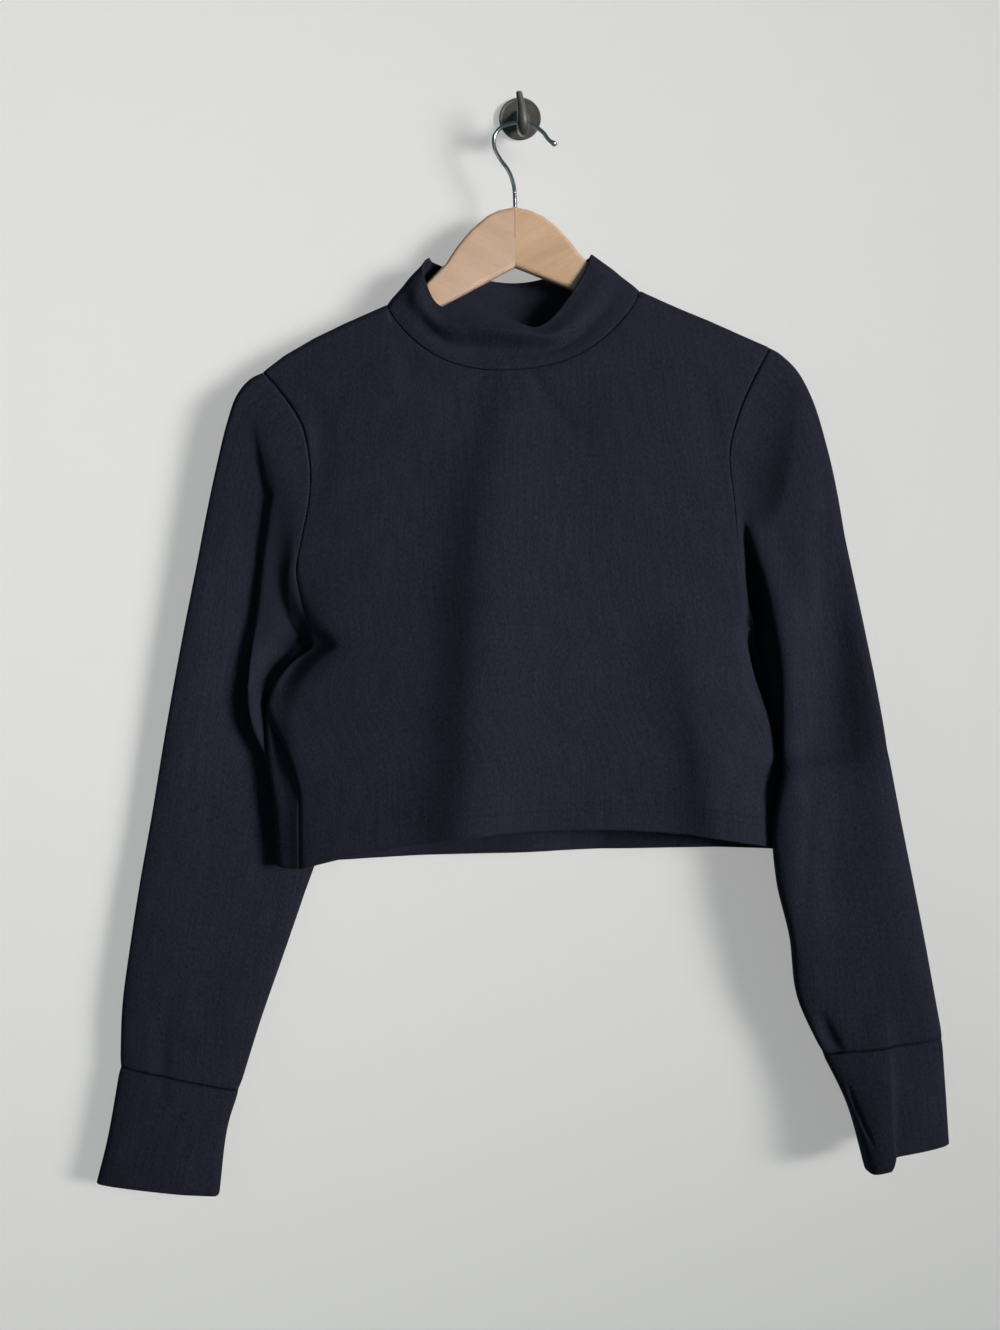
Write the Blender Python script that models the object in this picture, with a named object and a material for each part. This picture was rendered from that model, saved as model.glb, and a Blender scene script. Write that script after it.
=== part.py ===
"""A long-sleeved mock-neck crop top in knit cloth, hung on a wooden hanger from a round wall hook.

Every sewn piece is a wall of its own: front, back, two sleeves, two cuffs and a collar. The hanger is two
wooden arms and a bent wire hook, and the wall hook is a round plate with one prong. Sizes below are in
millimetres. X runs to the right as the garment is seen from the front, Y points into the wall and Z up.
The origin is under the crown of the wire hook, where the wall hook carries it.
"""
import math

import bmesh
import bpy
import numpy as np
from mathutils import Vector

MM = 0.001
SEAM_GAP = 0.3          # between two pieces sewn together
CLOTH = 1.5             # thickness of the knit
FOLD_RADIUS = 8.5       # of the rolled edge down each side and over the hanger arms
WALL_Y = 32.0           # the wall's face

# The shoulders: outer skin, from the neck to the shoulder seam, on each side (x, z)
NECK_LEFT, NECK_RIGHT = (-113.0, -153.0), (103.0, -141.0)
SHOULDER_LEFT = ((-218.0, -210.0), (-199.0, -195.5), (-174.0, -181.0), (-147.0, -168.0), NECK_LEFT)
SHOULDER_RIGHT = (NECK_RIGHT, (132.0, -154.0), (163.0, -167.0), (190.0, -179.0), (213.0, -189.0))
NECK_DROP = {"front": 64.0, "back": 30.0}
NECK_POWER, NECK_ROUND = 2.4, 0.8

# Armhole seams, pit to shoulder: z, x of the front seam, x of the back seam
ARMHOLE_LEFT = (
    (-442.0, -176.0, -176.0),
    (-428.0, -178.5, -180.0),
    (-408.0, -183.0, -184.0),
    (-382.0, -187.5, -187.0),
    (-350.0, -182.5, -189.0),
    (-322.0, -177.0, -190.0),
    (-288.0, -176.5, -192.0),
    (-252.0, -186.0, -199.0),
    (-226.0, -204.0, -209.0),
    (-210.0, -218.0, -218.0),
)
ARMHOLE_RIGHT = (
    (-429.0, 196.0, 196.0),
    (-406.0, 190.5, 193.0),
    (-380.0, 186.0, 190.0),
    (-344.0, 183.0, 188.0),
    (-314.0, 180.0, 188.0),
    (-280.0, 177.0, 189.0),
    (-247.0, 185.0, 194.0),
    (-217.0, 198.0, 203.0),
    (-189.0, 213.0, 213.0),
)
# The outline down each side, shoulder level to hem: z, x and y of the rolled edge. Above the pit it is
# only where the chest would roll away under the sleeve.
SIDE_LEFT = (
    (-200.0, -226.0, 0.0),
    (-350.0, -216.0, -2.0),
    (-405.0, -203.0, -3.0),
    (-428.0, -189.0, -3.0),
    (-442.0, -176.5, -3.0),
    (-456.0, -192.0, -6.0),
    (-472.0, -206.0, -8.0),
    (-490.0, -213.0, -8.0),
    (-515.0, -215.0, -6.0),
    (-543.0, -213.0, -4.0),
    (-575.0, -209.0, -2.0),
    (-632.0, -205.0, 0.0),
)
SIDE_RIGHT = (
    (-185.0, 222.0, 0.0),
    (-340.0, 220.0, 2.0),
    (-395.0, 212.0, 3.0),
    (-415.0, 204.0, 4.0),
    (-429.0, 196.5, 4.0),
    (-456.0, 202.0, 5.0),
    (-476.0, 210.0, 7.0),
    (-498.0, 218.0, 9.0),
    (-525.0, 225.0, 10.0),
    (-560.0, 229.0, 10.0),
    (-618.0, 230.0, 8.0),
)
HEM_LEFT, HEM_RIGHT = (-205.0, -631.0), (230.0, -617.0)
SEAM_FORWARD = 14.0     # how far the left side seam has turned to the front at the hem
HEM_RISE = {"front": 27.0, "back": 5.0}
HEM_POWER = {"front": 2.6, "back": 4.0}
CHEST_DEPTH = {"front": 30.0, "back": 17.0}
HEM_DEPTH = {"front": 36.0, "back": 17.0}
DRAPE_LENGTH = 85.0     # below the shoulder, over which the chest reaches its depth

# Rows and columns of the panels
NECK_SHARES = (0.0, 0.035, 0.08, 0.15, 0.23, 0.32, 0.41, 0.5, 0.59, 0.68, 0.77, 0.85, 0.92, 0.965, 1.0)
SHOULDER_STEPS = 4
SIDE_STEPS = (0.0, 4.5, 9.0, 14.0)
ROWS_BELOW = 7
ROWS_ABOVE = (0.0, 0.14, 0.29, 0.43, 0.57, 0.70, 0.80, 0.89, 0.95, 0.98, 0.9935, 1.0)

# Sleeves, from the armhole down. Each row is a ring: outer edge x, z; inner edge x, z; y of the outer and
# of the inner edge; half depth; and how much of the armhole's own shape is left in it.
SLEEVE_LEFT = (
    (-218.0, -210.0, -176.0, -442.0, 0.0, -3.0, 10.0, 1.0),
    (-230.0, -217.5, -176.3, -443.0, 0.0, 0.5, 10.0, 0.95),
    (-240.0, -230.0, -176.5, -445.0, 0.5, 5.5, 10.0, 0.86),
    (-248.0, -252.0, -177.0, -448.5, 1.5, 11.0, 10.0, 0.70),
    (-257.0, -288.0, -177.0, -454.0, 3.0, 16.0, 10.0, 0.45),
    (-266.0, -329.0, -176.5, -462.0, 5.0, 19.0, 10.0, 0.22),
    (-275.0, -375.0, -175.0, -473.0, 7.0, 20.5, 9.0, 0.06),
    (-285.0, -424.0, -172.0, -490.0, 9.0, 20.0, 9.0, 0.0),
    (-300.0, -503.0, -168.0, -540.0, 11.0, 20.0, 8.5, 0.0),
    (-315.0, -592.0, -169.0, -608.0, 12.0, 19.0, 8.5, 0.0),
    (-324.0, -643.0, -186.0, -660.0, 12.0, 17.0, 9.5, 0.0),
    (-332.0, -695.0, -203.0, -710.0, 12.0, 14.0, 11.0, 0.0),
    (-339.0, -748.0, -221.0, -762.0, 12.0, 12.0, 12.0, 0.0),
    (-341.0, -802.0, -240.0, -823.0, 12.0, 12.0, 12.0, 0.0),
)
SLEEVE_RIGHT = (
    (213.0, -189.0, 196.0, -429.0, 0.0, 4.0, 12.0, 1.0),
    (223.0, -196.0, 198.0, -431.0, 0.0, 6.0, 12.0, 0.95),
    (236.0, -209.0, 200.0, -434.0, 0.0, 8.0, 13.0, 0.86),
    (247.0, -230.0, 202.5, -438.0, 0.0, 10.0, 14.0, 0.70),
    (260.0, -276.0, 203.5, -444.0, 0.0, 12.0, 15.0, 0.45),
    (271.0, -324.0, 206.0, -453.0, 0.0, 13.0, 15.5, 0.22),
    (282.0, -376.0, 210.0, -466.0, 0.0, 14.0, 15.5, 0.06),
    (292.0, -424.0, 216.0, -482.0, 0.0, 13.0, 15.0, 0.0),
    (303.0, -480.0, 223.5, -507.0, -1.0, 8.0, 15.0, 0.0),
    (309.0, -515.0, 228.5, -530.0, -2.0, -7.0, 14.5, 0.0),
    (314.0, -544.0, 226.0, -552.0, -3.0, -18.0, 14.0, 0.0),
    (322.0, -588.0, 214.0, -590.0, -4.0, -20.0, 13.5, 0.0),
    (332.0, -640.0, 217.0, -641.0, -5.0, -16.0, 13.5, 0.0),
    (342.0, -692.0, 228.0, -688.0, -5.0, -12.0, 13.5, 0.0),
    (351.0, -741.0, 236.0, -742.0, -5.0, -8.0, 13.0, 0.0),
    (357.0, -773.0, 256.0, -786.0, -5.0, -7.0, 13.0, 0.0),
)
CUFF_LEFT = (
    SLEEVE_LEFT[-1],
    (-351.0, -860.0, -251.0, -860.0, 12.0, 12.0, 13.0, 0.0),
    (-361.0, -901.0, -257.0, -912.0, 12.0, 11.0, 13.0, 0.0),
)
CUFF_RIGHT = (
    SLEEVE_RIGHT[-1],
    (360.0, -818.0, 277.0, -830.0, -4.0, -10.0, 15.0, 0.0),
    (363.0, -862.5, 292.0, -884.0, -3.0, -12.0, 16.0, 0.0),
)
SLEEVE_ROWS, CUFF_ROWS = 22, 4
ROW_LEAST = 6.0         # added to each step of a table, so that short steps get rows too
RING_ROUND = 0.8        # under 1 gives a fuller ring than an ellipse

RIM_SENSE = (0.4, 0.3, 0.87)    # which way a rim's diagonals lean, the same on both sides of a seam

# Folds, as rises toward the front: piece, rise, width to the left, width to the right, run (x, z)
CENTRE_RIDGE = ((-30.0, -300.0), (-47.0, -365.0), (-47.0, -440.0), (-42.0, -550.0), (-40.0, -640.0))
WAIST_VALLEY = ((126.0, -420.0), (144.0, -490.0), (160.0, -600.0))
PLEAT_LEFT = ((-206.0, -310.0), (-216.0, -356.0), (-225.0, -417.0), (-230.0, -468.0), (-226.0, -500.0))
PIT_RIGHT = ((190.0, -330.0), (200.0, -385.0), (208.0, -435.0), (217.0, -480.0))
SLEEVE_RIDGE = ((262.0, -330.0), (270.0, -450.0), (278.0, -640.0))
CUFF_RIDGE = ((309.0, -775.0), (315.0, -900.0))
FOLDS = (
    ("front", 9.0, 42.0, 46.0, CENTRE_RIDGE),
    ("front", -4.0, 18.0, 24.0, WAIST_VALLEY),
    ("sleeve_left", 13.0, 7.0, 26.0, PLEAT_LEFT),
    ("sleeve_right", -15.0, 9.0, 8.0, PIT_RIGHT),
    ("sleeve_right", 7.0, 24.0, 20.0, SLEEVE_RIDGE),
    ("sleeve_right", 12.0, 20.0, 8.0, CUFF_RIDGE),
    ("cuff_right", 12.0, 20.0, 8.0, CUFF_RIDGE),
)
FOLD_FADE = 26.0        # past the ends of a run

# Collar, from its left corner round the front to its right corner, then round the back. Each row is a point
# of the top edge: share of the way round, x, y, z.
COLLAR_TOP = (
    (0.00, -77.0, 0.0, -113.0),
    (0.02, -80.0, -6.5, -117.0),
    (0.045, -81.5, -9.5, -123.0),
    (0.08, -80.0, -12.0, -132.0),
    (0.14, -69.0, -14.0, -155.0),
    (0.22, -40.0, -15.0, -160.0),
    (0.29, -10.0, -15.0, -167.0),
    (0.36, 18.0, -15.0, -174.0),
    (0.42, 41.0, -13.5, -151.0),
    (0.455, 55.0, -10.5, -128.0),
    (0.48, 60.5, -7.0, -115.0),
    (0.50, 62.0, 0.0, -110.0),
    (0.52, 61.0, 7.0, -111.0),
    (0.57, 48.0, 13.0, -118.0),
    (0.66, 20.0, 17.0, -128.0),
    (0.75, -7.0, 19.0, -131.0),
    (0.84, -36.0, 17.0, -127.0),
    (0.93, -63.0, 13.0, -119.0),
    (0.98, -76.0, 7.0, -114.0),
    (1.00, -77.0, 0.0, -113.0),
)
COLLAR_ROWS = 8
COLLAR_CENTRE, COLLAR_SQUASH = (-6.0, 0.0), (3.5, 1.0)
# Buckles of the collar: share of the way round, its spread, height up the collar, its spread, rise outward
BUCKLES = (
    (0.27, 0.12, 0.72, 0.20, 11.0),
    (0.25, 0.15, 0.38, 0.16, -6.0),
)

# Hanger
ARM_THICK = 10.5
ARM_ROUND = 3.5
ARM_BELOW_CLOTH = 3.0   # from the cloth's outer skin to the wood along the shoulder
GLUE_LINE_X = -3.5
ARM_TOP_LEFT = (
    (-3.5, -70.5), (-17.0, -73.0), (-27.0, -78.0), (-41.0, -90.0), (-52.0, -103.0), (-62.0, -118.0),
    (-80.0, -136.5),
)
ARM_TOP_RIGHT = (
    (-3.5, -70.5), (8.5, -73.0), (21.0, -78.5), (32.0, -87.0), (43.0, -99.0), (52.0, -111.0),
    (66.0, -124.0),
)
ARM_APEX = (-3.5, -121.5)
ARM_LOW_LEFT = ((-67.0, -155.0), (-140.0, -193.0), (-212.0, -231.0))
ARM_LOW_RIGHT = ((46.0, -141.0), (125.0, -176.0), (207.0, -212.0))
ARM_TIP_INSET = 3.0
WIRE_RADIUS, WIRE_STEPS, WIRE_SIDES = 1.7, 44, 8
WIRE_HOLE_RADIUS, WIRE_HOLE_DEPTH = 2.1, 60.0
WIRE_ROUTE = (
    (-3.5, -96.0), (-3.5, -80.0), (-3.5, -66.0), (-4.5, -52.0), (-9.0, -39.0), (-16.0, -29.0),
    (-21.0, -19.0), (-21.0, -9.5), (-15.0, -2.0), (-7.0, 1.2), (2.0, 1.6), (12.0, -0.6), (20.5, -6.5),
    (26.0, -13.5), (29.5, -15.8),
)
TIP_BALL_RADIUS = 3.0

# Wall hook
PLATE_CENTRE = (1.2, 15.4)
PLATE_RADIUS, PLATE_THICK, PLATE_BEVEL = 18.2, 4.0, 1.5
# The prong's centre line with its half thickness: x, y, z, radius
PRONG = (
    (1.6, 29.0, 14.0, 8.5),
    (1.9, 22.0, 11.0, 6.5),
    (2.6, 14.0, 3.0, 5.0),
    (3.4, 6.0, -3.8, 4.3),
    (3.6, 0.0, -4.9, 4.3),
    (3.5, -6.5, -4.4, 4.8),
    (3.0, -10.5, 1.5, 4.6),
    (2.2, -11.5, 10.0, 3.7),
    (0.9, -12.0, 17.5, 3.0),
    (-0.2, -12.5, 23.0, 2.6),
)
PRONG_STEPS, PRONG_SIDES = 26, 12
PRONG_TIP = ((0.35, 0.88), (0.6, 0.6), (0.75, 0.25))    # the rounded end: reach in steps, share of radius


# ---------------------------------------------------------------- numbers into curves


def through(rows, at):
    """Smooth curve through rows whose first column rises or falls steadily, read at the given values."""
    rows = np.array(rows, float)
    if rows[0, 0] > rows[-1, 0]:
        rows = rows[::-1]
    knots, values = rows[:, 0], rows[:, 1:]
    slopes = np.gradient(values, knots, axis=0)
    at = np.clip(np.asarray(at, float), knots[0], knots[-1])
    k = np.clip(np.searchsorted(knots, at, side="right") - 1, 0, len(knots) - 2)
    span = (knots[k + 1] - knots[k])[..., None]
    t = (at[..., None] - knots[k][..., None]) / span
    return (
        values[k] * (1 + 2 * t) * (1 - t) ** 2
        + values[k + 1] * t**2 * (3 - 2 * t)
        + slopes[k] * span * t * (1 - t) ** 2
        + slopes[k + 1] * span * t**2 * (t - 1)
    )


def along(points, shares):
    """The same through points in order, read at shares of its length."""
    points = np.array(points, float)
    steps = np.linalg.norm(np.diff(points, axis=0), axis=1)
    lengths = np.concatenate([[0.0], np.cumsum(steps)])
    return through(np.column_stack([lengths / lengths[-1], points]), shares)


def quarter_round(t):
    """0 to 1 along a quarter circle, flat from t = 1 on."""
    return np.sqrt(1.0 - (1.0 - np.clip(t, 0.0, 1.0)) ** 2)


def fold_rise(piece, x, z):
    """How far the folds of this piece bring the cloth forward at x, z."""
    rise = np.zeros(np.broadcast(x, z).shape)
    for name, amount, wide_left, wide_right, run in FOLDS:
        if name != piece:
            continue
        run = np.array(run)[::-1]
        middle = np.interp(z, run[:, 1], run[:, 0])
        beyond = np.maximum(run[0, 1] - z, 0) + np.maximum(z - run[-1, 1], 0)
        aside = x - middle
        width = np.where(aside < 0, wide_left, wide_right)
        rise += amount * np.exp(-((aside / width) ** 2) - (beyond / FOLD_FADE) ** 2)
    return rise


# ---------------------------------------------------------------- front and back


def top_edge(side):
    """Shoulder, neck and shoulder of a panel, left to right, one x, z for each column."""
    left = along(SHOULDER_LEFT, np.linspace(0, 1, SHOULDER_STEPS + 1))
    right = along(SHOULDER_RIGHT, np.linspace(0, 1, SHOULDER_STEPS + 1))
    swing = -np.cos(math.pi * np.array(NECK_SHARES))
    chord = np.outer((1 - swing) / 2, NECK_LEFT) + np.outer((1 + swing) / 2, NECK_RIGHT)
    drop = NECK_DROP[side] * (1 - np.abs(swing) ** NECK_POWER) ** NECK_ROUND
    neck = chord - np.column_stack([np.zeros_like(drop), drop])
    edge = np.vstack([left, neck[1:-1], right])
    closer = np.array(SIDE_STEPS[:-1]) / (2.5 * SIDE_STEPS[-1])
    return np.vstack([along(edge[:2], closer), edge[1:-1], along(edge[:-3:-1], closer)[::-1]])


def column_arcs(count, width):
    """Distances along a section from its left seam, close together at both ends."""
    ends = np.array(SIDE_STEPS)
    inside = np.linspace(ends[-1], width - ends[-1], count - 2 * len(ends) + 2)
    return np.concatenate([ends[:-1], inside, (width - ends[:-1])[::-1]])


def skin_y(side, x, z, turned):
    """Y of the garment's outer skin. turned is +1 on the front of a section and -1 round its back."""
    left, right = through(SIDE_LEFT, z), through(SIDE_RIGHT, z)
    middle = (left[..., 0] + right[..., 0]) / 2
    half = (right[..., 0] - left[..., 0]) / 2
    across = np.clip((x - middle) / half, -1, 1)
    seat = left[..., 1] + (right[..., 1] - left[..., 1]) * (across + 1) / 2
    inset = half * (1 - np.abs(across))
    shoulder = np.interp(x, *np.array(SHOULDER_LEFT + SHOULDER_RIGHT).T)
    below = np.maximum(shoulder - z, 0)
    edge = FOLD_RADIUS * np.minimum(quarter_round(inset / FOLD_RADIUS), quarter_round(below / FOLD_RADIUS))
    seat = seat * (1 - np.exp(-below / 60.0))
    drop = np.clip((-250.0 - z) / 350.0, 0, 1)
    depth = CHEST_DEPTH[side] + (HEM_DEPTH[side] - CHEST_DEPTH[side]) * drop
    bulge = (depth - FOLD_RADIUS) * (1 - np.abs(across) ** 2.2) * (1 - np.exp(-below / DRAPE_LENGTH))
    if side == "front":
        bulge = bulge + fold_rise("front", x, z) * (1 - np.abs(across) ** 4) * (1 - np.exp(-below / 40.0))
    return seat - turned * (edge + bulge * np.clip(inset / 20.0, 0, 1))


def panel_points(side):
    """Outer skin of the front or back: rows from the hem up, columns from the left seam to the right."""
    top = top_edge(side)
    count = len(top)
    pit_left, pit_right = np.array(ARMHOLE_LEFT[0][:2])[::-1], np.array(ARMHOLE_RIGHT[0][:2])[::-1]
    column = 1 if side == "front" else 2
    forward = 1.0 if side == "front" else -1.0
    rows, turned = [], []
    for step in range(ROWS_BELOW, -1, -1):  # hem to pit
        down = step / ROWS_BELOW
        z_left = pit_left[1] + (HEM_LEFT[1] - pit_left[1]) * down
        z_right = pit_right[1] + (HEM_RIGHT[1] - pit_right[1]) * down
        x_left, x_right = through(SIDE_LEFT, z_left)[0], through(SIDE_RIGHT, z_right)[0]
        offset = SEAM_FORWARD * down**2 * forward
        around = (math.pi / 2 - 1) * FOLD_RADIUS
        width = x_right - x_left + 2 * around - offset
        arcs = column_arcs(count, width)
        from_left, from_right = arcs + offset, width - arcs
        quarter = FOLD_RADIUS * math.pi / 2
        turn_left = FOLD_RADIUS * (1 - np.cos(np.clip(np.abs(from_left) / FOLD_RADIUS, 0, math.pi / 2)))
        turn_right = FOLD_RADIUS * (1 - np.cos(np.clip(from_right / FOLD_RADIUS, 0, math.pi / 2)))
        in_left = np.where(np.abs(from_left) < quarter, turn_left, np.abs(from_left) - around)
        in_right = np.where(from_right < quarter, turn_right, from_right - around)
        x = np.where(arcs < width / 2, x_left + in_left, x_right - in_right)
        share = (x - x_left) / (x_right - x_left)
        swing = np.abs(2 * arcs / width - 1)
        rise = HEM_RISE[side] * (1 - swing ** HEM_POWER[side]) * down**2
        z = z_left + (z_right - z_left) * share + rise
        rows.append(np.column_stack([x, z]))
        turned.append(np.where(from_left < 0, -forward, forward))
    pit_row = rows[-1]
    share = np.linspace(0, 1, count)
    for up in ROWS_ABOVE[1:]:
        left_z = pit_left[1] + (SHOULDER_LEFT[0][1] - pit_left[1]) * up
        right_z = pit_right[1] + (SHOULDER_RIGHT[-1][1] - pit_right[1]) * up
        left = np.array([through(ARMHOLE_LEFT, left_z)[column - 1], left_z])
        right = np.array([through(ARMHOLE_RIGHT, right_z)[column - 1], right_z])
        straight = pit_row * (1 - up) + top * up
        pull_left, pull_right = left - straight[0], right - straight[-1]
        fade = (1 - share)[:, None] ** 2, share[:, None] ** 2
        rows.append(straight + pull_left * fade[0] + pull_right * fade[1])
        turned.append(np.full(count, forward))
    rows, turned = np.array(rows), np.array(turned)
    x, z = rows[..., 0], rows[..., 1]
    y = skin_y(side, x, z, turned)
    return np.stack([x, y, z], axis=-1)


# ---------------------------------------------------------------- sleeves, cuffs and collar


def sleeve_points(piece, table, armhole, count):
    """Outer skin of a sleeve or cuff: rings from the top down, each from its outer edge by the front."""
    table = np.array(table)
    size = len(armhole) if armhole is not None else 2 * (len(ROWS_ABOVE) - 1)
    middles = (table[:, :2] + table[:, 2:4]) / 2
    steps = np.linalg.norm(np.diff(middles, axis=0), axis=1) + ROW_LEAST
    lengths = np.concatenate([[0.0], np.cumsum(steps)])
    rows = through(np.column_stack([lengths / lengths[-1], table]), np.linspace(0, 1, count + 1))
    angle = 2 * math.pi * np.arange(size) / size
    share = (1 - np.cos(angle)) / 2
    swell = np.sign(np.sin(angle)) * np.abs(np.sin(angle)) ** RING_ROUND
    rings = []
    for out_x, out_z, in_x, in_z, y_out, y_in, depth, kept in rows:
        x = out_x + (in_x - out_x) * share
        z = out_z + (in_z - out_z) * share
        y = y_out + (y_in - y_out) * share - depth * swell
        ring = np.column_stack([x, y, z])
        front = np.clip(swell, 0, 1) * (1 - kept)
        ring[:, 1] -= fold_rise(piece, ring[:, 0], ring[:, 2]) * front
        if armhole is not None:
            ends = np.array([[out_x, y_out, out_z], [in_x, y_in, in_z]])
            moved = armhole + armhole_shares(armhole) @ (ends - armhole[[0, size // 2]])
            ring = moved * kept + ring * (1 - kept)
        rings.append(ring)
    if armhole is not None:
        rings[0] = armhole
    return np.array(rings)


def armhole_shares(armhole):
    """How much each point of an armhole loop belongs to the shoulder point and how much to the pit."""
    top, pit = armhole[0], armhole[len(armhole) // 2]
    low = np.clip((armhole[:, 2] - top[2]) / (pit[2] - top[2]), 0, 1)
    return np.column_stack([1 - low, low])


def armhole_loop(front, back, side):
    """The armhole's outer edge from the shoulder point down the front to the pit and up the back."""
    column = 0 if side == "left" else -1
    down = front[ROWS_BELOW:, column][::-1]
    up = back[ROWS_BELOW:, column]
    return np.vstack([down, up[1:-1]])


def collar_points(front, back):
    """Outer skin of the collar: rings from the neck seam up, each from the left corner by the front."""
    lead = len(SIDE_STEPS) - 2 + SHOULDER_STEPS
    across = slice(lead, lead + len(NECK_SHARES))
    base = np.vstack([front[-1, across], back[-1, across][::-1][1:-1]])
    shares = np.concatenate([np.array(NECK_SHARES) / 2, 1 - np.array(NECK_SHARES)[::-1][1:-1] / 2])
    top = through(COLLAR_TOP, shares)
    rings = []
    for height in np.linspace(0, 1, COLLAR_ROWS + 1):
        ring = base + (top - base) * height
        outward = (ring[:, :2] - COLLAR_CENTRE) / np.square(COLLAR_SQUASH)
        outward /= np.linalg.norm(outward, axis=1)[:, None]
        push = np.zeros(len(ring))
        for at, spread, level, deep, rise in BUCKLES:
            push += rise * np.exp(-(((shares - at) / spread) ** 2) - ((height - level) / deep) ** 2)
        ring[:, :2] += outward * push[:, None] * (1 - height**6)
        rings.append(ring)
    return np.array(rings)


# ---------------------------------------------------------------- walls of cloth


def grid_normals(points, round_about):
    """Outward unit normals of a grid whose rows and columns run as one right-handed pair or the other."""
    if round_about:
        around = np.roll(points, -1, axis=1) - np.roll(points, 1, axis=1)
    else:
        around = np.gradient(points, axis=1)
    up = np.gradient(points, axis=0)
    normals = np.cross(around, up)
    return normals / np.linalg.norm(normals, axis=-1, keepdims=True)


def mean_normal(one, other):
    """Unit normals halfway between two sets."""
    return (one + other) / np.linalg.norm(one + other, axis=-1, keepdims=True)


def hold_back(outer, inner, round_about):
    """Draw both skins in from their edges by half a seam gap."""
    for skin in (outer, inner):
        moves = []
        for edge, beside in ((0, 1), (-1, -2)):
            moves.append(((edge, slice(None)), off_seam(skin[edge], skin[beside], round_about)))
            if not round_about:
                moves.append(((slice(None), edge), off_seam(skin[:, edge], skin[:, beside], False)))
        for where, move in moves:
            skin[where] += move


def off_seam(seam, beside, round_about):
    """Half a seam gap, square to the seam and toward the row beside it."""
    if round_about:
        run = np.roll(seam, -1, axis=0) - np.roll(seam, 1, axis=0)
    else:
        run = np.gradient(seam, axis=0)
    run = run / np.linalg.norm(run, axis=1)[:, None]
    away = beside - seam
    away = away - run * np.sum(away * run, axis=1)[:, None]
    return away / np.linalg.norm(away, axis=1)[:, None] * SEAM_GAP / 2


def cloth_wall(name, points, normals, round_about, material):
    """A closed wall: the outer skin, an inner one CLOTH behind it, and rims between them."""
    outer, inner = points.copy(), points - normals * CLOTH
    hold_back(outer, inner, round_about)
    rows, columns = outer.shape[:2]
    mesh = bmesh.new()
    skins = [[[mesh.verts.new(p * MM) for p in row] for row in skin] for skin in (outer, inner)]
    last = columns if round_about else columns - 1
    for r in range(rows - 1):
        for c in range(last):
            d = (c + 1) % columns
            for skin, order in zip(skins, (1, -1)):
                corners = [skin[r][c], skin[r][d], skin[r + 1][d], skin[r + 1][c]]
                mesh.faces.new(corners[::order])
    for row in (0, rows - 1):
        for c in range(last):
            add_rim(mesh, skins, (row, c), (row, (c + 1) % columns))
    if not round_about:
        for column in (0, columns - 1):
            for r in range(rows - 1):
                add_rim(mesh, skins, (r, column), (r + 1, column))
    bmesh.ops.recalc_face_normals(mesh, faces=mesh.faces)
    return finish_mesh(name, mesh, material)


def add_rim(mesh, skins, one, two):
    """The rim between two stations, halved on the diagonal that the piece across the seam has too."""
    run = skins[0][two[0]][two[1]].co - skins[0][one[0]][one[1]].co
    if run.dot(Vector(RIM_SENSE)) < 0:
        one, two = two, one
    outer_one, outer_two = skins[0][one[0]][one[1]], skins[0][two[0]][two[1]]
    inner_one, inner_two = skins[1][one[0]][one[1]], skins[1][two[0]][two[1]]
    mesh.faces.new((outer_one, outer_two, inner_two))
    mesh.faces.new((outer_one, inner_two, inner_one))


def finish_mesh(name, mesh, material):
    data = bpy.data.meshes.new(name)
    mesh.to_mesh(data)
    mesh.free()
    data.materials.append(material)
    piece = bpy.data.objects.new(name, data)
    bpy.context.scene.collection.objects.link(piece)
    data.shade_smooth()
    data.set_sharp_from_angle(angle=math.radians(40))
    return piece


def plain_material(name, colour, roughness, metallic):
    material = bpy.data.materials.new(name)
    material.use_nodes = True
    shader = material.node_tree.nodes["Principled BSDF"]
    shader.inputs["Base Color"].default_value = (*colour, 1.0)
    shader.inputs["Roughness"].default_value = roughness
    shader.inputs["Metallic"].default_value = metallic
    return material


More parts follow.
